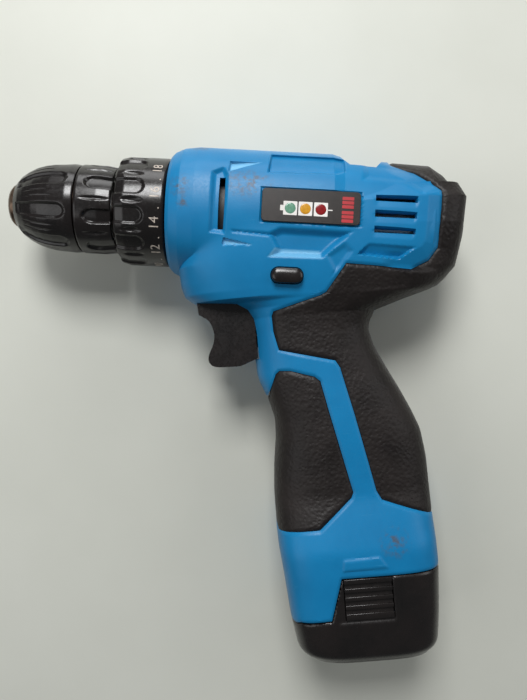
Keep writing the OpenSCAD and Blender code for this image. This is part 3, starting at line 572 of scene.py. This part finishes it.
def shapeSkin(piece, rubber):
    # presses the side relief, the borders of the rubber and the split line into the skin
    points, normals = pointsOf(piece), normalsOf(piece)
    facing = softStep(np.abs(points[:, 1]), 7, 13)
    sunk, painted_highlight = sideRelief(points, False)
    labelled, labelSidePaintedHighlight = sideRelief(points, True)
    sunk = np.where(points[:, 1] < 0, labelled, sunk) * facing
    rear, front = borderDistance(points, rearGrip), borderDistance(points, frontGrip)
    border = np.minimum(np.abs(rear), np.abs(front))
    along, up = fromSpindle(points)
    taper = np.clip(1 - np.abs(rear) / (9.0 if rubber else 5.9), 0, 1) * softStep(along, 84, 90)
    sunk = sunk + 1.9 * taper * softStep(up, -22, -19) * facing
    if rubber:
        sunk = sunk + 0.15 + 0.75 * np.clip(1 - border / 1.7, 0, 1) ** 2
    else:
        sunk = sunk + 0.55 * np.clip(1 - border / 0.9, 0, 1)
    sunk = sunk + 0.3 * np.clip(1 - np.abs(points[:, 1]) / 0.55, 0, 1)
    # the lower edge of the skirt is rounded over
    edge = np.abs(insideDistance(points[:, 0], points[:, 2], skirt))
    sunk = sunk + 0.5 * np.clip(1 - edge / 0.8, 0, 1)
    outward = np.sign(points[:, 1])[:, None] * across
    direction = normals * (1 - facing[:, None]) + outward * facing[:, None]
    movePoints(piece, points - direction * sunk[:, None])
    # stores the painted highlight of the facets and chamfer for the blue finish
    mark = piece.data.attributes.new("painted_highlight", "FLOAT", "POINT")
    mark.data.foreach_set("value", (painted_highlight * facing).astype(np.float32))


def uprightPrism(name, flat, low, high):
    return loftPiece(name, [np.column_stack([flat, np.full(len(flat), z)]) for z in (low, high)])


def halfOf(piece, name, side):
    half = duplicate(piece, name)
    flat = np.array([(-120, 0), (120, 0), (120, -side * 60), (-120, -side * 60)], float)
    box = uprightPrism("halfCut", flat, -10, 240)
    return combine(half, box)


def cavity():
    # the space inside the housing: gearbox and motor, switch, battery tower and the skirt's room
    stations = [(-1, 20.6), (8, 20.6), (8.1, 23), (64.9, 23), (65, 21), (111, 21)]
    angle = 2 * math.pi * np.arange(72) / 72
    room = loftPiece("cavity", [onSpindle(s, r * np.sin(angle), r * np.cos(angle)) for s, r in stations])
    combine(room, spindleBox("roof", (65, 112), (-30, 30), (17.9, 30)))
    grip = loftPiece("gripRoom", gripRings(3.6, 75, 166, 2.0, 72))
    hold = sidePrism("gripHold", [
        (-59.5, 160), (-59.5, 147.5), (-56, 146.2), (-37, 146.2), (-33.2, 142), (-33, 112), (-29, 104),
        (-27, 92), (-27, 70), (27, 70), (23, 93), (18.5, 103), (14, 113), (9.6, 122), (8.6, 130),
        (11, 136), (24, 141.5), (38, 145), (46, 150), (48, 165)], -16, 16)
    combine(grip, hold, "INTERSECT")
    combine(room, grip, "UNION")
    combine(room, loftPiece("skirtRoom", gripRings(2.6, 16, 43, 1.5, 96)), "UNION")
    angle = 2 * math.pi * (np.arange(72) + 0.5) / 72
    tower = np.stack([26.3 * squareRound(np.cos(angle), 3.4), 15.5 * squareRound(np.sin(angle), 3.0)], -1)
    combine(room, uprightPrism("towerRoom", tower, 30, 88), "UNION")
    mouth = np.stack([27 * squareRound(np.cos(angle), 4.5), 21.6 * squareRound(np.sin(angle), 4.5)], -1)
    combine(room, uprightPrism("mouthRoom", mouth, 10, 17), "UNION")
    return room


def flaredSlot(name, along, up, side, depth=9.0, flare=0.45):
    # a slot cutter through one side that opens out at the skin
    face = side * (body["sideFlat"] + 1.0)
    deep = side * (body["sideFlat"] - depth)
    rings = []
    for at, grow in ((face, flare + 0.8), (side * (body["sideFlat"] - 1.9), 0.0), (deep, 0.0)):
        corners = [(along[0] - grow * 0.5, up[0] - grow), (along[1] + grow * 0.5, up[0] - grow),
                   (along[1] + grow * 0.5, up[1] + grow), (along[0] - grow * 0.5, up[1] + grow)]
        rings.append([onSpindle(a, at, u) for a, u in corners])
    return loftPiece(name, rings)


buttonShape = {"x": -20.9, "z": 149.8, "radius": 2.85, "straight": 3.2, "lean": 7, "reach": 25.6}


def buttonRing(grow, count=48):
    # outline of the direction button round its middle, X and Z
    angle = 2 * math.pi * np.arange(count) / count
    radius = buttonShape["radius"] + grow
    x = radius * np.cos(angle) + buttonShape["straight"] * np.sign(np.cos(angle + 1e-6))
    z = radius * np.sin(angle)
    lean = math.radians(buttonShape["lean"])
    return np.stack([buttonShape["x"] + x * math.cos(lean) + z * math.sin(lean), 0 * x,
                     buttonShape["z"] - x * math.sin(lean) + z * math.cos(lean)], -1)


def cutOpenings(shell):
    for side in (-1, 1):
        for height in slats:
            combine(shell, flaredSlot("slot", (81.0, 96.5), (height - 0.9, height + 0.9), side))
        combine(shell, flaredSlot("frontSlot", (21.6, 23.8), (-9.8, 9.8), side, 9, 0.3))
    notch = [(68.6, 22.6), (71.2, 19.1), (81.8, 19.1), (86.0, 24.8), (88, 33), (66, 33)]
    ring = np.array([onSpindle(a, 0, u) for a, u in notch])
    combine(shell, loftPiece("notch", [ring - across * 30, ring + across * 30]))
    for start in (72.5, 79.0):
        combine(shell, spindleBox("topSlot", (start, start + 2.8), (-7, 7), (10, 32)))
    opening = [(-70, 118.8), (-27.2, 118.8), (-27.2, 141.7), (-70, 141.7)]
    combine(shell, sidePrism("triggerWay", opening, -9.8, 9.8))
    button = buttonRing(0.3)
    combine(shell, loftPiece("buttonWay", [button - across * 40, button + across * 40]))
    for side in (-1, 1):
        dish = [buttonRing(0.3) + across * side * 22.5,
                buttonRing(1.3) + across * side * buttonShape["reach"]]
        combine(shell, loftPiece("buttonDish", dish))
    combine(shell, sidePrism("hookWay", [(-9.2, 30), (9.2, 30), (9.2, 41.5), (-9.2, 41.5)], -23.6, 23.6))


def blendJunction(piece):
    # rounds the line where the handle runs into the side of the motor housing
    points = pointsOf(piece)
    along, up = fromSpindle(points)
    weight = softStep(along, 12, 18) * softStep(up, -28, -22) * (1 - softStep(up, -6, -2))
    weight *= (1 - softStep(along, 92, 100)) * softStep(np.abs(points[:, 1]), 8, 14)
    edges = np.zeros(len(piece.data.edges) * 2, int)
    piece.data.edges.foreach_get("vertices", edges)
    a, b = edges.reshape(-1, 2).T
    count = np.bincount(a, minlength=len(points)) + np.bincount(b, minlength=len(points))
    for _ in range(110):
        total = np.zeros_like(points)
        for k in range(3):
            for here, there in ((a, b), (b, a)):
                total[:, k] += np.bincount(here, points[there, k], len(points))
        points = points + 0.6 * weight[:, None] * (total / count[:, None] - points)
    movePoints(piece, points)


def buildHousing():
    skin = outerSolid("skin", 0, True)
    blendJunction(skin)
    print("outer skin made", len(skin.data.polygons))
    rearRegion, frontRegion = sidePrism("rearRegion", rearGrip), sidePrism("frontRegion", frontGrip)
    rear = combine(duplicate(skin, "rearSkin"), rearRegion, "INTERSECT", keep=True)
    front = combine(duplicate(skin, "frontSkin"), frontRegion, "INTERSECT", keep=True)
    combine(skin, rearRegion)
    combine(skin, frontRegion)
    combine(skin, sidePrism("skirtRegion", skirt, -60, 60), "INTERSECT")
    shapeSkin(skin, False)
    shapeSkin(rear, True)
    shapeSkin(front, True)
    core = outerSolid("core", body["rubberThick"] + 1.1, False)
    combine(core, sidePrism("coreSkirt", skirt, -60, 60), "INTERSECT")
    for grip in (rear, front):
        combine(grip, core, keep=True)
    combine(skin, core, "UNION")
    combine(skin, cavity())
    cutOpenings(skin)
    print("housing cut", len(skin.data.polygons))
    for word, side in (("left", -1), ("right", 1)):
        for grip, name in ((skin, "housing"), (rear, "rear_grip"), (front, "front_grip")):
            finish = "blue_nylon" if name == "housing" else "rubber"
            half = smooth(halfOf(grip, f"{name}_{word}_shell", side), 28)
            finishPiece(half, finishes[finish], "housing", f"{name}_{word}", slot=finish)
    for spare in (skin, rear, front):
        bpy.data.objects.remove(spare)


buildHousing()
print("housing and grips made")


# turned parts
def turnedPiece(name, profile, count, sink, fineFrom, step=0.35):
    # profile: closed loop of (along, radius); sink gives the depth of the relief on the outside
    loop = []
    for (a, r), (b, q) in zip(profile, profile[1:] + profile[:1]):
        parts = max(1, int(math.hypot(b - a, q - r) / step)) if max(r, q) > fineFrom else 1
        loop += [(a + (b - a) * k / parts, r + (q - r) * k / parts) for k in range(parts)]
    loop = np.array(loop)
    angle = 2 * math.pi * np.arange(count) / count
    radius = np.broadcast_to(loop[:, 1:2], (len(loop), count)).copy()
    station = np.broadcast_to(loop[:, 0:1], radius.shape)
    radius -= sink(station, radius, angle[None, :])
    rings = onSpindle(station, radius * np.sin(angle), radius * np.cos(angle))
    return loftPiece(name, np.swapaxes(rings, 0, 1), closed=True)


def turn(angle, count, offset=0.0):
    # degrees from the middle of the nearest of a ring of places
    pitch = 360 / count
    return (np.degrees(angle) - offset + pitch / 2) % pitch - pitch / 2


frontSleeve = {"flutes": 8, "first": 30, "depth": 1.1, "ends": (-59.5, -38.6), "halfTurn": 11.0}


def frontSleeveSink(along, radius, angle):
    start, stop = frontSleeve["ends"]
    offset = turn(angle, frontSleeve["flutes"], frontSleeve["first"])
    tail = np.clip((along - (stop - 4.2)) / 4.2, 0, 1)
    reach = np.sqrt((offset / frontSleeve["halfTurn"]) ** 2 + tail ** 2)
    deep = frontSleeve["depth"] * rampUp(1 - reach, 0.36) * softStep(along, start - 2, start + 2)
    between = np.abs(np.abs(turn(angle, frontSleeve["flutes"], frontSleeve["first"] + 22.5)) - 4.2)
    deep += 0.2 * rampUp(1 - between / 1.6, 1) * softStep(along, -58, -54) * (1 - softStep(along, -48, -42))
    return np.where(radius > 12.2, deep, 0)


# turned by and half width in degrees, depth in mm
rearSleeve = {"places": 8, "broad": (25, 10.2, 1.15), "narrow": (2.5, 3.2, 0.55)}
collarGrip = {"places": 12, "broad": (15, 9.6, 0.95), "narrow": (0, 3.8, 0.65)}


def gripOf(grip, kind, angle):
    offset, half, depth = grip[kind]
    return turn(angle, grip["places"], offset) / half, depth


def rearSleeveSink(along, radius, angle):
    broad, broadDepth = gripOf(rearSleeve, "broad", angle)
    narrow, narrowDepth = gripOf(rearSleeve, "narrow", angle)
    nose = np.clip((-28.2 - along) / 4.3, 0, 1)
    deep = broadDepth * rampUp(1 - np.sqrt(broad ** 2 + nose ** 2), 0.3)
    tip = (along + 27.5) / 6.5
    deep += narrowDepth * rampUp(1 - np.sqrt(narrow ** 2 + tip ** 2), 0.7)
    return np.where(radius > 15.2, deep, 0)


def collarSink(along, radius, angle):
    broad, broadDepth = gripOf(collarGrip, "broad", angle)
    narrow, narrowDepth = gripOf(collarGrip, "narrow", angle)
    tail = np.clip((along + 11.0) / 3.8, 0, 1)
    deep = broadDepth * rampUp(1 - np.sqrt(broad ** 2 + tail ** 2), 0.3)
    tip = (along + 12.2) / 5.0
    deep += narrowDepth * rampUp(1 - np.sqrt(narrow ** 2 + tip ** 2), 0.75)
    return np.where(radius > 19.9, deep, 0)


def roundedCorners(profile, size):
    # cuts each corner of a loop with two short chords so that edges catch the light
    out = []
    count = len(profile)
    for k in range(count):
        p, q, r = (np.array(profile[(k + j) % count], float) for j in (-1, 0, 1))
        cut = min(size, 0.4 * np.linalg.norm(p - q), 0.4 * np.linalg.norm(r - q))
        a = q + (p - q) / np.linalg.norm(p - q) * cut
        b = q + (r - q) / np.linalg.norm(r - q) * cut
        out += [tuple(a), tuple((a + b + 2 * q) / 4), tuple(b)]
    return out


sleeveProfile = roundedCorners([
    (-62.0, 9.0), (-62.2, 9.9), (-59.6, 12.6), (-56.8, 14.4), (-53.4, 16.0), (-50, 17.0), (-46.4, 17.6),
    (-39, 18.0), (-36.1, 17.6), (-36.1, 15.6), (-48.5, 15.6), (-48.5, 14.9), (-51.4, 14.9),
    (-57.3, 11.9), (-59.9, 9.0)], 0.5)
rearSleeveProfile = roundedCorners([
    (-35.7, 16.3), (-35.7, 17.6), (-35.1, 18.0), (-26.4, 18.0), (-21.2, 17.3), (-21.2, 14.4),
    (-24.2, 14.4), (-25, 16.3)], 0.5)
collarProfile = roundedCorners([
    (-19.4, 14.6), (-19.4, 20.4), (-18.8, 21.2), (-15.6, 22), (-0.4, 22), (0.5, 21.5), (0.5, 19.8),
    (5, 19.8), (5, 18.3), (-16.8, 18.3), (-16.8, 14.6)], 0.4)
for name, profile, sink, fineFrom, rides in (
        ("chuck_front_sleeve", sleeveProfile, frontSleeveSink, 12.2, "chuck_sleeve"),
        ("chuck_rear_sleeve", rearSleeveProfile, rearSleeveSink, 16.5, "spindle"),
        ("torque_collar", collarProfile, collarSink, 19.9, "torque_collar")):
    piece = smooth(turnedPiece(name + "_moulding", profile, 600, sink, fineFrom), 32)
    finishPiece(piece, finishes["black_plastic"], rides, name, slot="black_plastic")
print("chuck sleeves and collar made")

collarPrint = {"size": 5.3, "first": 52.0, "step": 30.0, "along": -3.0, "radius": 22.0, "thick": 0.09}


def printedText(name, text, along, degrees, size, radius):
    # raised printing that wraps the collar: it reads round the collar with its head to the nose
    curve = bpy.data.curves.new(name, "FONT")
    curve.body = text
    curve.size = size
    curve.align_x = "CENTER"
    curve.align_y = "CENTER"
    curve.extrude = 0.04
    curve.offset = -0.03
    curve.resolution_u = 3
    writing = bpy.data.objects.new(name, curve)
    bpy.context.scene.collection.objects.link(writing)
    bpy.context.view_layer.update()
    mesh = bpy.data.meshes.new_from_object(writing.evaluated_get(bpy.context.evaluated_depsgraph_get()))
    bpy.data.objects.remove(writing)
    flat = np.zeros(len(mesh.vertices) * 3)
    mesh.vertices.foreach_get("co", flat)
    flat = flat.reshape(-1, 3)
    angle = math.radians(degrees) - flat[:, 0] / radius
    out = radius + np.where(flat[:, 2] > 0, collarPrint["thick"], -0.15)
    at = onSpindle(along - flat[:, 1], -out * np.sin(angle), out * np.cos(angle))
    piece = bpy.data.objects.new(name, mesh)
    bpy.context.scene.collection.objects.link(piece)
    movePoints(piece, at)
    return piece


def buildCollarPrint():
    for k in range(9):
        number = 18 - 2 * k
        degrees = collarPrint["first"] + collarPrint["step"] * k
        label = printedText(f"collar_number_{number}", str(number), collarPrint["along"], degrees,
                            collarPrint["size"], collarPrint["radius"])
        finishPiece(label, finishes["paint"], "torque_collar", slot="white_nylon")
        if k < 8:
            dot = printedText(f"collar_dot_{number - 1}", ".", collarPrint["along"] + 0.3, degrees + 15,
                              5.0, collarPrint["radius"])
            finishPiece(dot, finishes["paint"], "torque_collar", slot="white_nylon")


buildCollarPrint()
print("collar numbers made")


# trigger, button, label, lenses
def buttonPiece():
    half = buttonShape["reach"]
    turns = np.linspace(0.12, 1.57, 12)
    steps = [(half - 1.1 * (1 - math.cos(t)), -2.6 * (1 - math.sin(t))) for t in turns]
    rings = [buttonRing(grow) + across * at for at, grow in steps]
    rings += [buttonRing(grow) - across * at for at, grow in steps[::-1]]
    piece = smooth(loftPiece("direction_button_moulding", rings), 40)
    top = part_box("direction_lever")[1].z * 1000 + 0.6
    corners = [(-24.2, 146), (-17.8, 146), (-17.8, top), (-24.2, top)]
    combine(piece, sidePrism("leverWay", corners, -1.7, 1.7))
    finishPiece(piece, finishes["black_plastic"], "direction_button", "direction_button",
                slot="black_plastic")


def offsetLoop(points, amount):
    after, before = np.roll(points, -1, 0), np.roll(points, 1, 0)
    way = after - before
    way /= np.linalg.norm(way, axis=1)[:, None] + 1e-9
    return points + np.stack([-way[:, 1], way[:, 0]], -1) * amount


def smoothLoop(corners, sharpness, rounds=3):
    # corner cutting that leaves the corners marked as sharp
    points = [(np.array(c, float), s) for c, s in zip(corners, sharpness)]
    for _ in range(rounds):
        new = []
        for k, (p, s) in enumerate(points):
            before, after = points[k - 1][0], points[(k + 1) % len(points)][0]
            if s:
                new.append((p, True))
            else:
                new += [(0.75 * p + 0.25 * before, False), (0.75 * p + 0.25 * after, False)]
        points = new
    return np.array([p for p, _ in points])


triggerShape = {
    "loop": [(-57.2, 141.3), (-54.0, 140.0), (-50.6, 137.2), (-49.0, 133.1), (-48.5, 128.8), (-49.7, 124.6),
             (-52.0, 120.6), (-51.3, 119.25), (-34.6, 119.2), (-34.6, 141.3)],
    "sharp": [True, False, False, False, False, False, False, False, True, True],
    "half": 9.3, "round": 2.6, "stemUp": 128, "stem": 3, "springRoom": 5.6,
}


def stemRing(x, radius):
    # a ring of points round the axis of the trigger's stem
    angle = 2 * math.pi * np.arange(40) / 40
    z = triggerShape["stemUp"] + radius * np.cos(angle)
    return np.column_stack([np.full(40, x), radius * np.sin(angle), z])


def triggerPiece():
    loop = smoothLoop(triggerShape["loop"], triggerShape["sharp"])
    rings = []
    half, radius = triggerShape["half"], triggerShape["round"]
    for at in [half - radius * (1 - math.sin(t)) for t in np.linspace(0, math.pi / 2, 9)][::-1]:
        inset = radius - math.sqrt(max(radius ** 2 - max(0.0, at - half + radius) ** 2, 0))
        rings.append((at, inset))
    rings = rings + [(-at, inset) for at, inset in rings[::-1]]
    centre = loop.mean(0)
    sections = []
    for at, inset in rings:
        moved = offsetLoop(loop, inset)
        if np.linalg.norm(moved - centre) > np.linalg.norm(loop - centre):
            moved = offsetLoop(loop, -inset)
        moved = np.where(loop[:, :1] > -35.5, loop, moved)
        sections.append(np.column_stack([moved[:, 0], np.full(len(moved), at), moved[:, 1]]))
    piece = loftPiece("trigger_moulding", sections)
    room = [stemRing(x, triggerShape["springRoom"]) for x in (-45, -33)]
    combine(piece, loftPiece("springRoom", room))
    stem = [stemRing(x, triggerShape["stem"]) for x in (-45.2, -16.4)]
    combine(piece, loftPiece("stem", stem), "UNION")
    smooth(piece, 35)
    finishPiece(piece, finishes["battery_plastic"], "trigger", "trigger", slot="dark_plastic")


def roundedBox(name, along, up, side, corner, bevel, segments=6):
    # a flat plate beside the spindle with rounded corners and a bevelled front
    corners = ((along[1], up[1], 0), (along[0], up[1], 90), (along[0], up[0], 180), (along[1], up[0], 270))
    rings = []
    for at, inset in ((side[0], bevel), (side[0] + bevel, 0.0), (side[1], 0.0)):
        ring = []
        for cx, cu, start in corners:
            for k in range(segments + 1):
                a = math.radians(start + 90 * k / segments)
                mx = cx - math.copysign(corner, math.cos(math.radians(start + 45)))
                mu = cu - math.copysign(corner, math.sin(math.radians(start + 45)))
                r = corner - inset
                ring.append(onSpindle(mx + r * math.cos(a), at, mu + r * math.sin(a)))
        rings.append(ring)
    return loftPiece(name, rings)


labelPlan = {
    "lenses": (48.7, 54.4, 60.2), "lensUp": -1.0, "lens": 2.0, "hole": 2.05, "dome": 0.1,
    "square": 2.6, "marks": 70.3, "foil": (-25.55, -24.7), "print": (-25.62, -25.5),
}


def lensRing(along, radius, at):
    # a ring of points round the middle of a lens
    angle = 2 * math.pi * np.arange(40) / 40
    return onSpindle(along + radius * np.cos(angle), at, labelPlan["lensUp"] + radius * np.sin(angle))


def lensDome(name, along, radius, height):
    rings = [lensRing(along, 1.6, -23.2), lensRing(along, 1.6, -25.3), lensRing(along, radius, -25.35)]
    for t in np.linspace(0, math.pi / 2, 8)[:-1]:
        rings.append(lensRing(along, radius * math.cos(t), labelPlan["print"][0] - height * math.sin(t)))
    return loftPiece(name, rings)


def lensHole(along):
    return loftPiece("lensHole", [lensRing(along, labelPlan["hole"], at) for at in (-27, -23)])


def buildLabel():
    printFace = labelPlan["print"]
    plate = roundedBox("indicator_panel_foil", (37.9, 75.1), (-6.2, 6.2), labelPlan["foil"], 1.6, 0.15)
    for along in labelPlan["lenses"]:
        combine(plate, lensHole(along))
    finishPiece(smooth(plate, 30), finishes["label"], "housing", "indicator_panel", slot="black_plastic")
    size = labelPlan["square"]
    middle = labelPlan["lensUp"]
    for along, tone in zip(labelPlan["lenses"], ("green", "amber", "red")):
        square = roundedBox(f"indicator_square_{tone}", (along - size, along + size),
                            (middle - size, middle + size), printFace, 0.25, 0.02, 3)
        combine(square, lensHole(along))
        finishPiece(square, finishes["print"], "housing", slot="white_nylon")
        lens = smooth(lensDome(f"indicator_lens_{tone}", along, labelPlan["lens"], labelPlan["dome"]), 50)
        nodes = ("indicator_lenses",) if tone == "green" else ()
        finishPiece(lens, finishes[tone + "_lens"], "housing", *nodes, slot="clear_plastic")
    nub = roundedBox("indicator_nub", (44.9, 46.1), (-2.0, 0.0), printFace, 0.15, 0.02, 2)
    finishPiece(nub, finishes["print"], "housing", slot="white_nylon")
    lead = roundedBox("indicator_tick", (62.9, 64.6), (-1.3, -0.9), printFace, 0.1, 0.02, 2)
    finishPiece(lead, finishes["print"], "housing", slot="white_nylon")
    marks = (labelPlan["marks"] - 2.2, labelPlan["marks"] + 2.2)
    for k, middle in enumerate((2.1, -3.2)):
        for j in range(3):
            tall = (middle + 1.55 * j - 2.2, middle + 1.55 * j - 0.95)
            bar = roundedBox(f"charge_mark_{k}_{j}", marks, tall, printFace, 0.2, 0.02, 2)
            finishPiece(bar, finishes["red_print"], "housing", slot="black_plastic")


buttonPiece()
triggerPiece()
buildLabel()
print("trigger, button and label made")


# battery
def batteryPiece():
    shell = loftPiece("battery_base_case", gripRings(0, 0, 34, 0.5, 300))
    combine(shell, sidePrism("underSkirt", [(x, z - 0.35) for x, z in skirt], -60, 60))
    points, normals = pointsOf(shell), normalsOf(shell)
    edge = np.abs(insideDistance(points[:, 0], points[:, 2] + 0.35, skirt))
    panel = insideDistance(points[:, 0], points[:, 2], [(-12, 16.4), (10.4, 16.4), (10.4, 40), (-12, 40)])
    sunk = 0.45 * np.clip(1 - edge / 0.7, 0, 1)
    sunk += 0.6 * np.clip(panel / 1.0, 0, 1) * softStep(np.abs(points[:, 1]), 15, 20)
    movePoints(shell, points - normals * sunk[:, None])
    angle = 2 * math.pi * (np.arange(96) + 0.5) / 96
    x, y = squareRound(np.cos(angle), 4.5), squareRound(np.sin(angle), 4.5)
    collar = np.stack([0.05 + 26.45 * x, 21.2 * y], -1)
    combine(shell, uprightPrism("socketCollar", collar, 5, 33.5), "UNION")
    x, y = squareRound(np.cos(angle), 4.2), squareRound(np.sin(angle), 4.2)
    inner = np.stack([0.1 + 25.2 * x, 19.6 * y], -1)
    combine(shell, uprightPrism("cellRoom", inner, 3, 40))
    for side in (-1, 1):
        low, high = sorted((side * 17.6, side * 31))
        combine(shell, sidePrism("buttonRoom", [(-9, 17.8), (9.8, 17.8), (9.8, 40), (-9, 40)], low, high))
    finishPiece(smooth(shell, 30), finishes["battery_plastic"], "battery", "battery_base",
                slot="black_plastic")


def softEdged(node, name, width, finish, rides, slot):
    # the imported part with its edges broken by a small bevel
    piece = duplicate(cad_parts[node], name)
    shape = bmesh.new()
    shape.from_mesh(piece.data)
    bmesh.ops.remove_doubles(shape, verts=shape.verts, dist=1e-6)
    bmesh.ops.dissolve_limit(shape, angle_limit=math.radians(1.0), verts=shape.verts, edges=shape.edges)
    shape.to_mesh(piece.data)
    shape.free()
    bevel = piece.modifiers.new("broken edges", "BEVEL")
    bevel.width = width * 0.001
    bevel.segments = 2
    bevel.limit_method = "ANGLE"
    bevel.angle_limit = math.radians(38)
    bpy.context.view_layer.update()
    made = bpy.data.meshes.new_from_object(piece.evaluated_get(bpy.context.evaluated_depsgraph_get()))
    piece.modifiers.clear()
    piece.data = made
    smooth(piece, 30)
    finishPiece(piece, finish, rides, node, slot=slot)


def springCopy(name, node, keepSide, rides):
    # a copy of the imported coil, or of one side of it, carried with the housing or the battery
    spring = duplicate(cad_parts[node], name)
    if keepSide:
        shape = bmesh.new()
        shape.from_mesh(spring.data)
        gone = [v for v in shape.verts if v.co.y * keepSide < 0]
        bmesh.ops.delete(shape, geom=gone, context="VERTS")
        shape.to_mesh(spring.data)
        shape.free()
    finishPiece(smooth(spring, 60), finishes["spring_steel"], rides, node, slot="spring_steel")
    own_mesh(spring)


springCopy("trigger_spring_coil", "trigger_spring", 0, "housing")
for side, way in (("left", -1), ("right", 1)):
    springCopy(f"release_spring_{side}", "release_springs", way, "battery")
batteryPiece()
for side in ("left", "right"):
    button = f"release_button_{side}"
    softEdged(button, button + "_moulding", 0.22, finishes["battery_plastic"], button, "black_plastic")
for node, ending, width, finish, rides, slot in (
        ("housing_screws", "_turned", 0.15, "dark_steel", "housing", "dark_steel"),
        ("chuck_body", "_turned", 0.3, "blued_steel", "spindle", "steel"),
        ("battery_tower", "_moulding", 0.5, "dark_plastic", "battery", "black_plastic")):
    softEdged(node, node + ending, width, finishes[finish], rides, slot)
print("battery made")

# finishes of the inner parts
slotNodes = {
    "board": ["indicator_board", "battery_board"],
    "grey_nylon": ["gear_case", "clutch_nut", "direction_lever"],
    "steel": ["spindle_bearings", "clutch_ring_gear", "clutch_balls", "clutch_washer", "spindle",
              "output_carrier", "middle_carrier", "motor_can", "motor_shaft", "chuck_nut",
              "jaw_1", "jaw_2", "jaw_3"],
    "dark_steel": ["fixed_ring_gear", "output_planet_1", "output_planet_2", "output_planet_3",
                   "middle_planet_1", "middle_planet_2", "middle_planet_3", "motor_plate",
                   "armature_core", "chuck_screw"],
    "spring_steel": ["clutch_spring"],
    "brass": ["motor_pinion"],
    "magnet": ["motor_magnets"],
    "white_nylon": ["motor_end_cap"],
    "carbon": ["motor_brushes"],
    "copper": ["armature_windings", "commutator"],
    "dark_plastic": ["switch_body", "terminal_block"],
    "wire": ["leads"],
    "cell_wrap": ["battery_cells"],
}
for slotName, names in slotNodes.items():
    for name in names:
        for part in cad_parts[name].material_slots:
            part.material = finishes[slotName]
print("inner parts finished")

# table, lights and camera
stageLook = {"distance": 26.4, "size": 900.0}


def tableTop():
    # a pale table behind the drill, seen only from the drill's side
    half = stageLook["size"]
    y = stageLook["distance"]
    table = makePiece("table", [(-half, y, -half), (half, y, -half), (half, y, half), (-half, y, half)],
                      [(0, 1, 2, 3)])
    finish, nodes, links, shader = shaderSetup("pale table")
    at = place(nodes)
    cloud = noiseOf(nodes, links, at, 6, 5)
    tone = rampOf(nodes, links, cloud, (0.57, 0.58, 0.52), (0.63, 0.64, 0.58))
    links.new(tone, shader.inputs["Base Color"])
    shader.inputs["Roughness"].default_value = 0.55
    bumpOf(nodes, links, shader, noiseOf(nodes, links, at, 500, 4), 0.1, 0.0002)
    clear = addNode(nodes, "ShaderNodeBsdfTransparent")
    facing = addNode(nodes, "ShaderNodeNewGeometry")
    join = addNode(nodes, "ShaderNodeMixShader")
    links.new(facing.outputs["Backfacing"], join.inputs[0])
    links.new(shader.outputs[0], join.inputs[1])
    links.new(clear.outputs[0], join.inputs[2])
    links.new(join.outputs[0], nodes["Material Output"].inputs["Surface"])
    table.data.materials.append(finish)
    table.visible_shadow = False


lamps = [
    # name, place, aim, width, height, watts
    ("key", (-70, -620, 600), (-20, 0, 150), 300, 300, 5.2),
    ("overhead", (-40, -250, 900), (-20, 0, 150), 500, 300, 2.0),
    ("fill", (-520, -520, 60), (-20, 0, 130), 420, 420, 0.8),
    ("rightFill", (560, -420, 240), (0, 0, 120), 300, 400, 0.8),
    ("behind", (200, 700, 500), (0, 0, 120), 600, 600, 6.0),
]


def addLamps():
    for name, at, aim, width, height, watts in lamps:
        light = bpy.data.lights.new(name, "AREA")
        light.shape = "RECTANGLE"
        light.size, light.size_y = width * 0.001, height * 0.001
        light.energy = watts
        lamp = bpy.data.objects.new(name, light)
        bpy.context.scene.collection.objects.link(lamp)
        lamp.location = Vector(at) * 0.001
        lamp.rotation_euler = (Vector(aim) - Vector(at)).to_track_quat("-Z", "Y").to_euler()
    world = bpy.data.worlds.new("room")
    world.use_nodes = True
    world.node_tree.nodes["Background"].inputs["Color"].default_value = (0.86, 0.90, 0.92, 1)
    world.node_tree.nodes["Background"].inputs["Strength"].default_value = 0.14
    bpy.context.scene.world = world
    bpy.context.scene.view_settings.view_transform = "Standard"


viewpoint = {"place": (-32.0, -250.0, 122.4), "roll": 4.5, "angle": 60.6}


def addCamera():
    lens = bpy.data.cameras.new("camera")
    lens.sensor_fit = "AUTO"
    lens.angle = math.radians(viewpoint["angle"])
    lens.clip_start = 0.01
    eye = bpy.data.objects.new("camera", lens)
    bpy.context.scene.collection.objects.link(eye)
    roll = math.radians(viewpoint["roll"])
    right = Vector((math.cos(roll), 0, -math.sin(roll)))
    up = Vector((math.sin(roll), 0, math.cos(roll)))
    back = Vector((0, -1, 0))
    turnTo = Matrix((right, up, back)).transposed().to_4x4()
    eye.matrix_world = Matrix.Translation(Vector(viewpoint["place"]) * 0.001) @ turnTo
    bpy.context.scene.camera = eye


tableTop()
addLamps()
addCamera()
print("stage made")
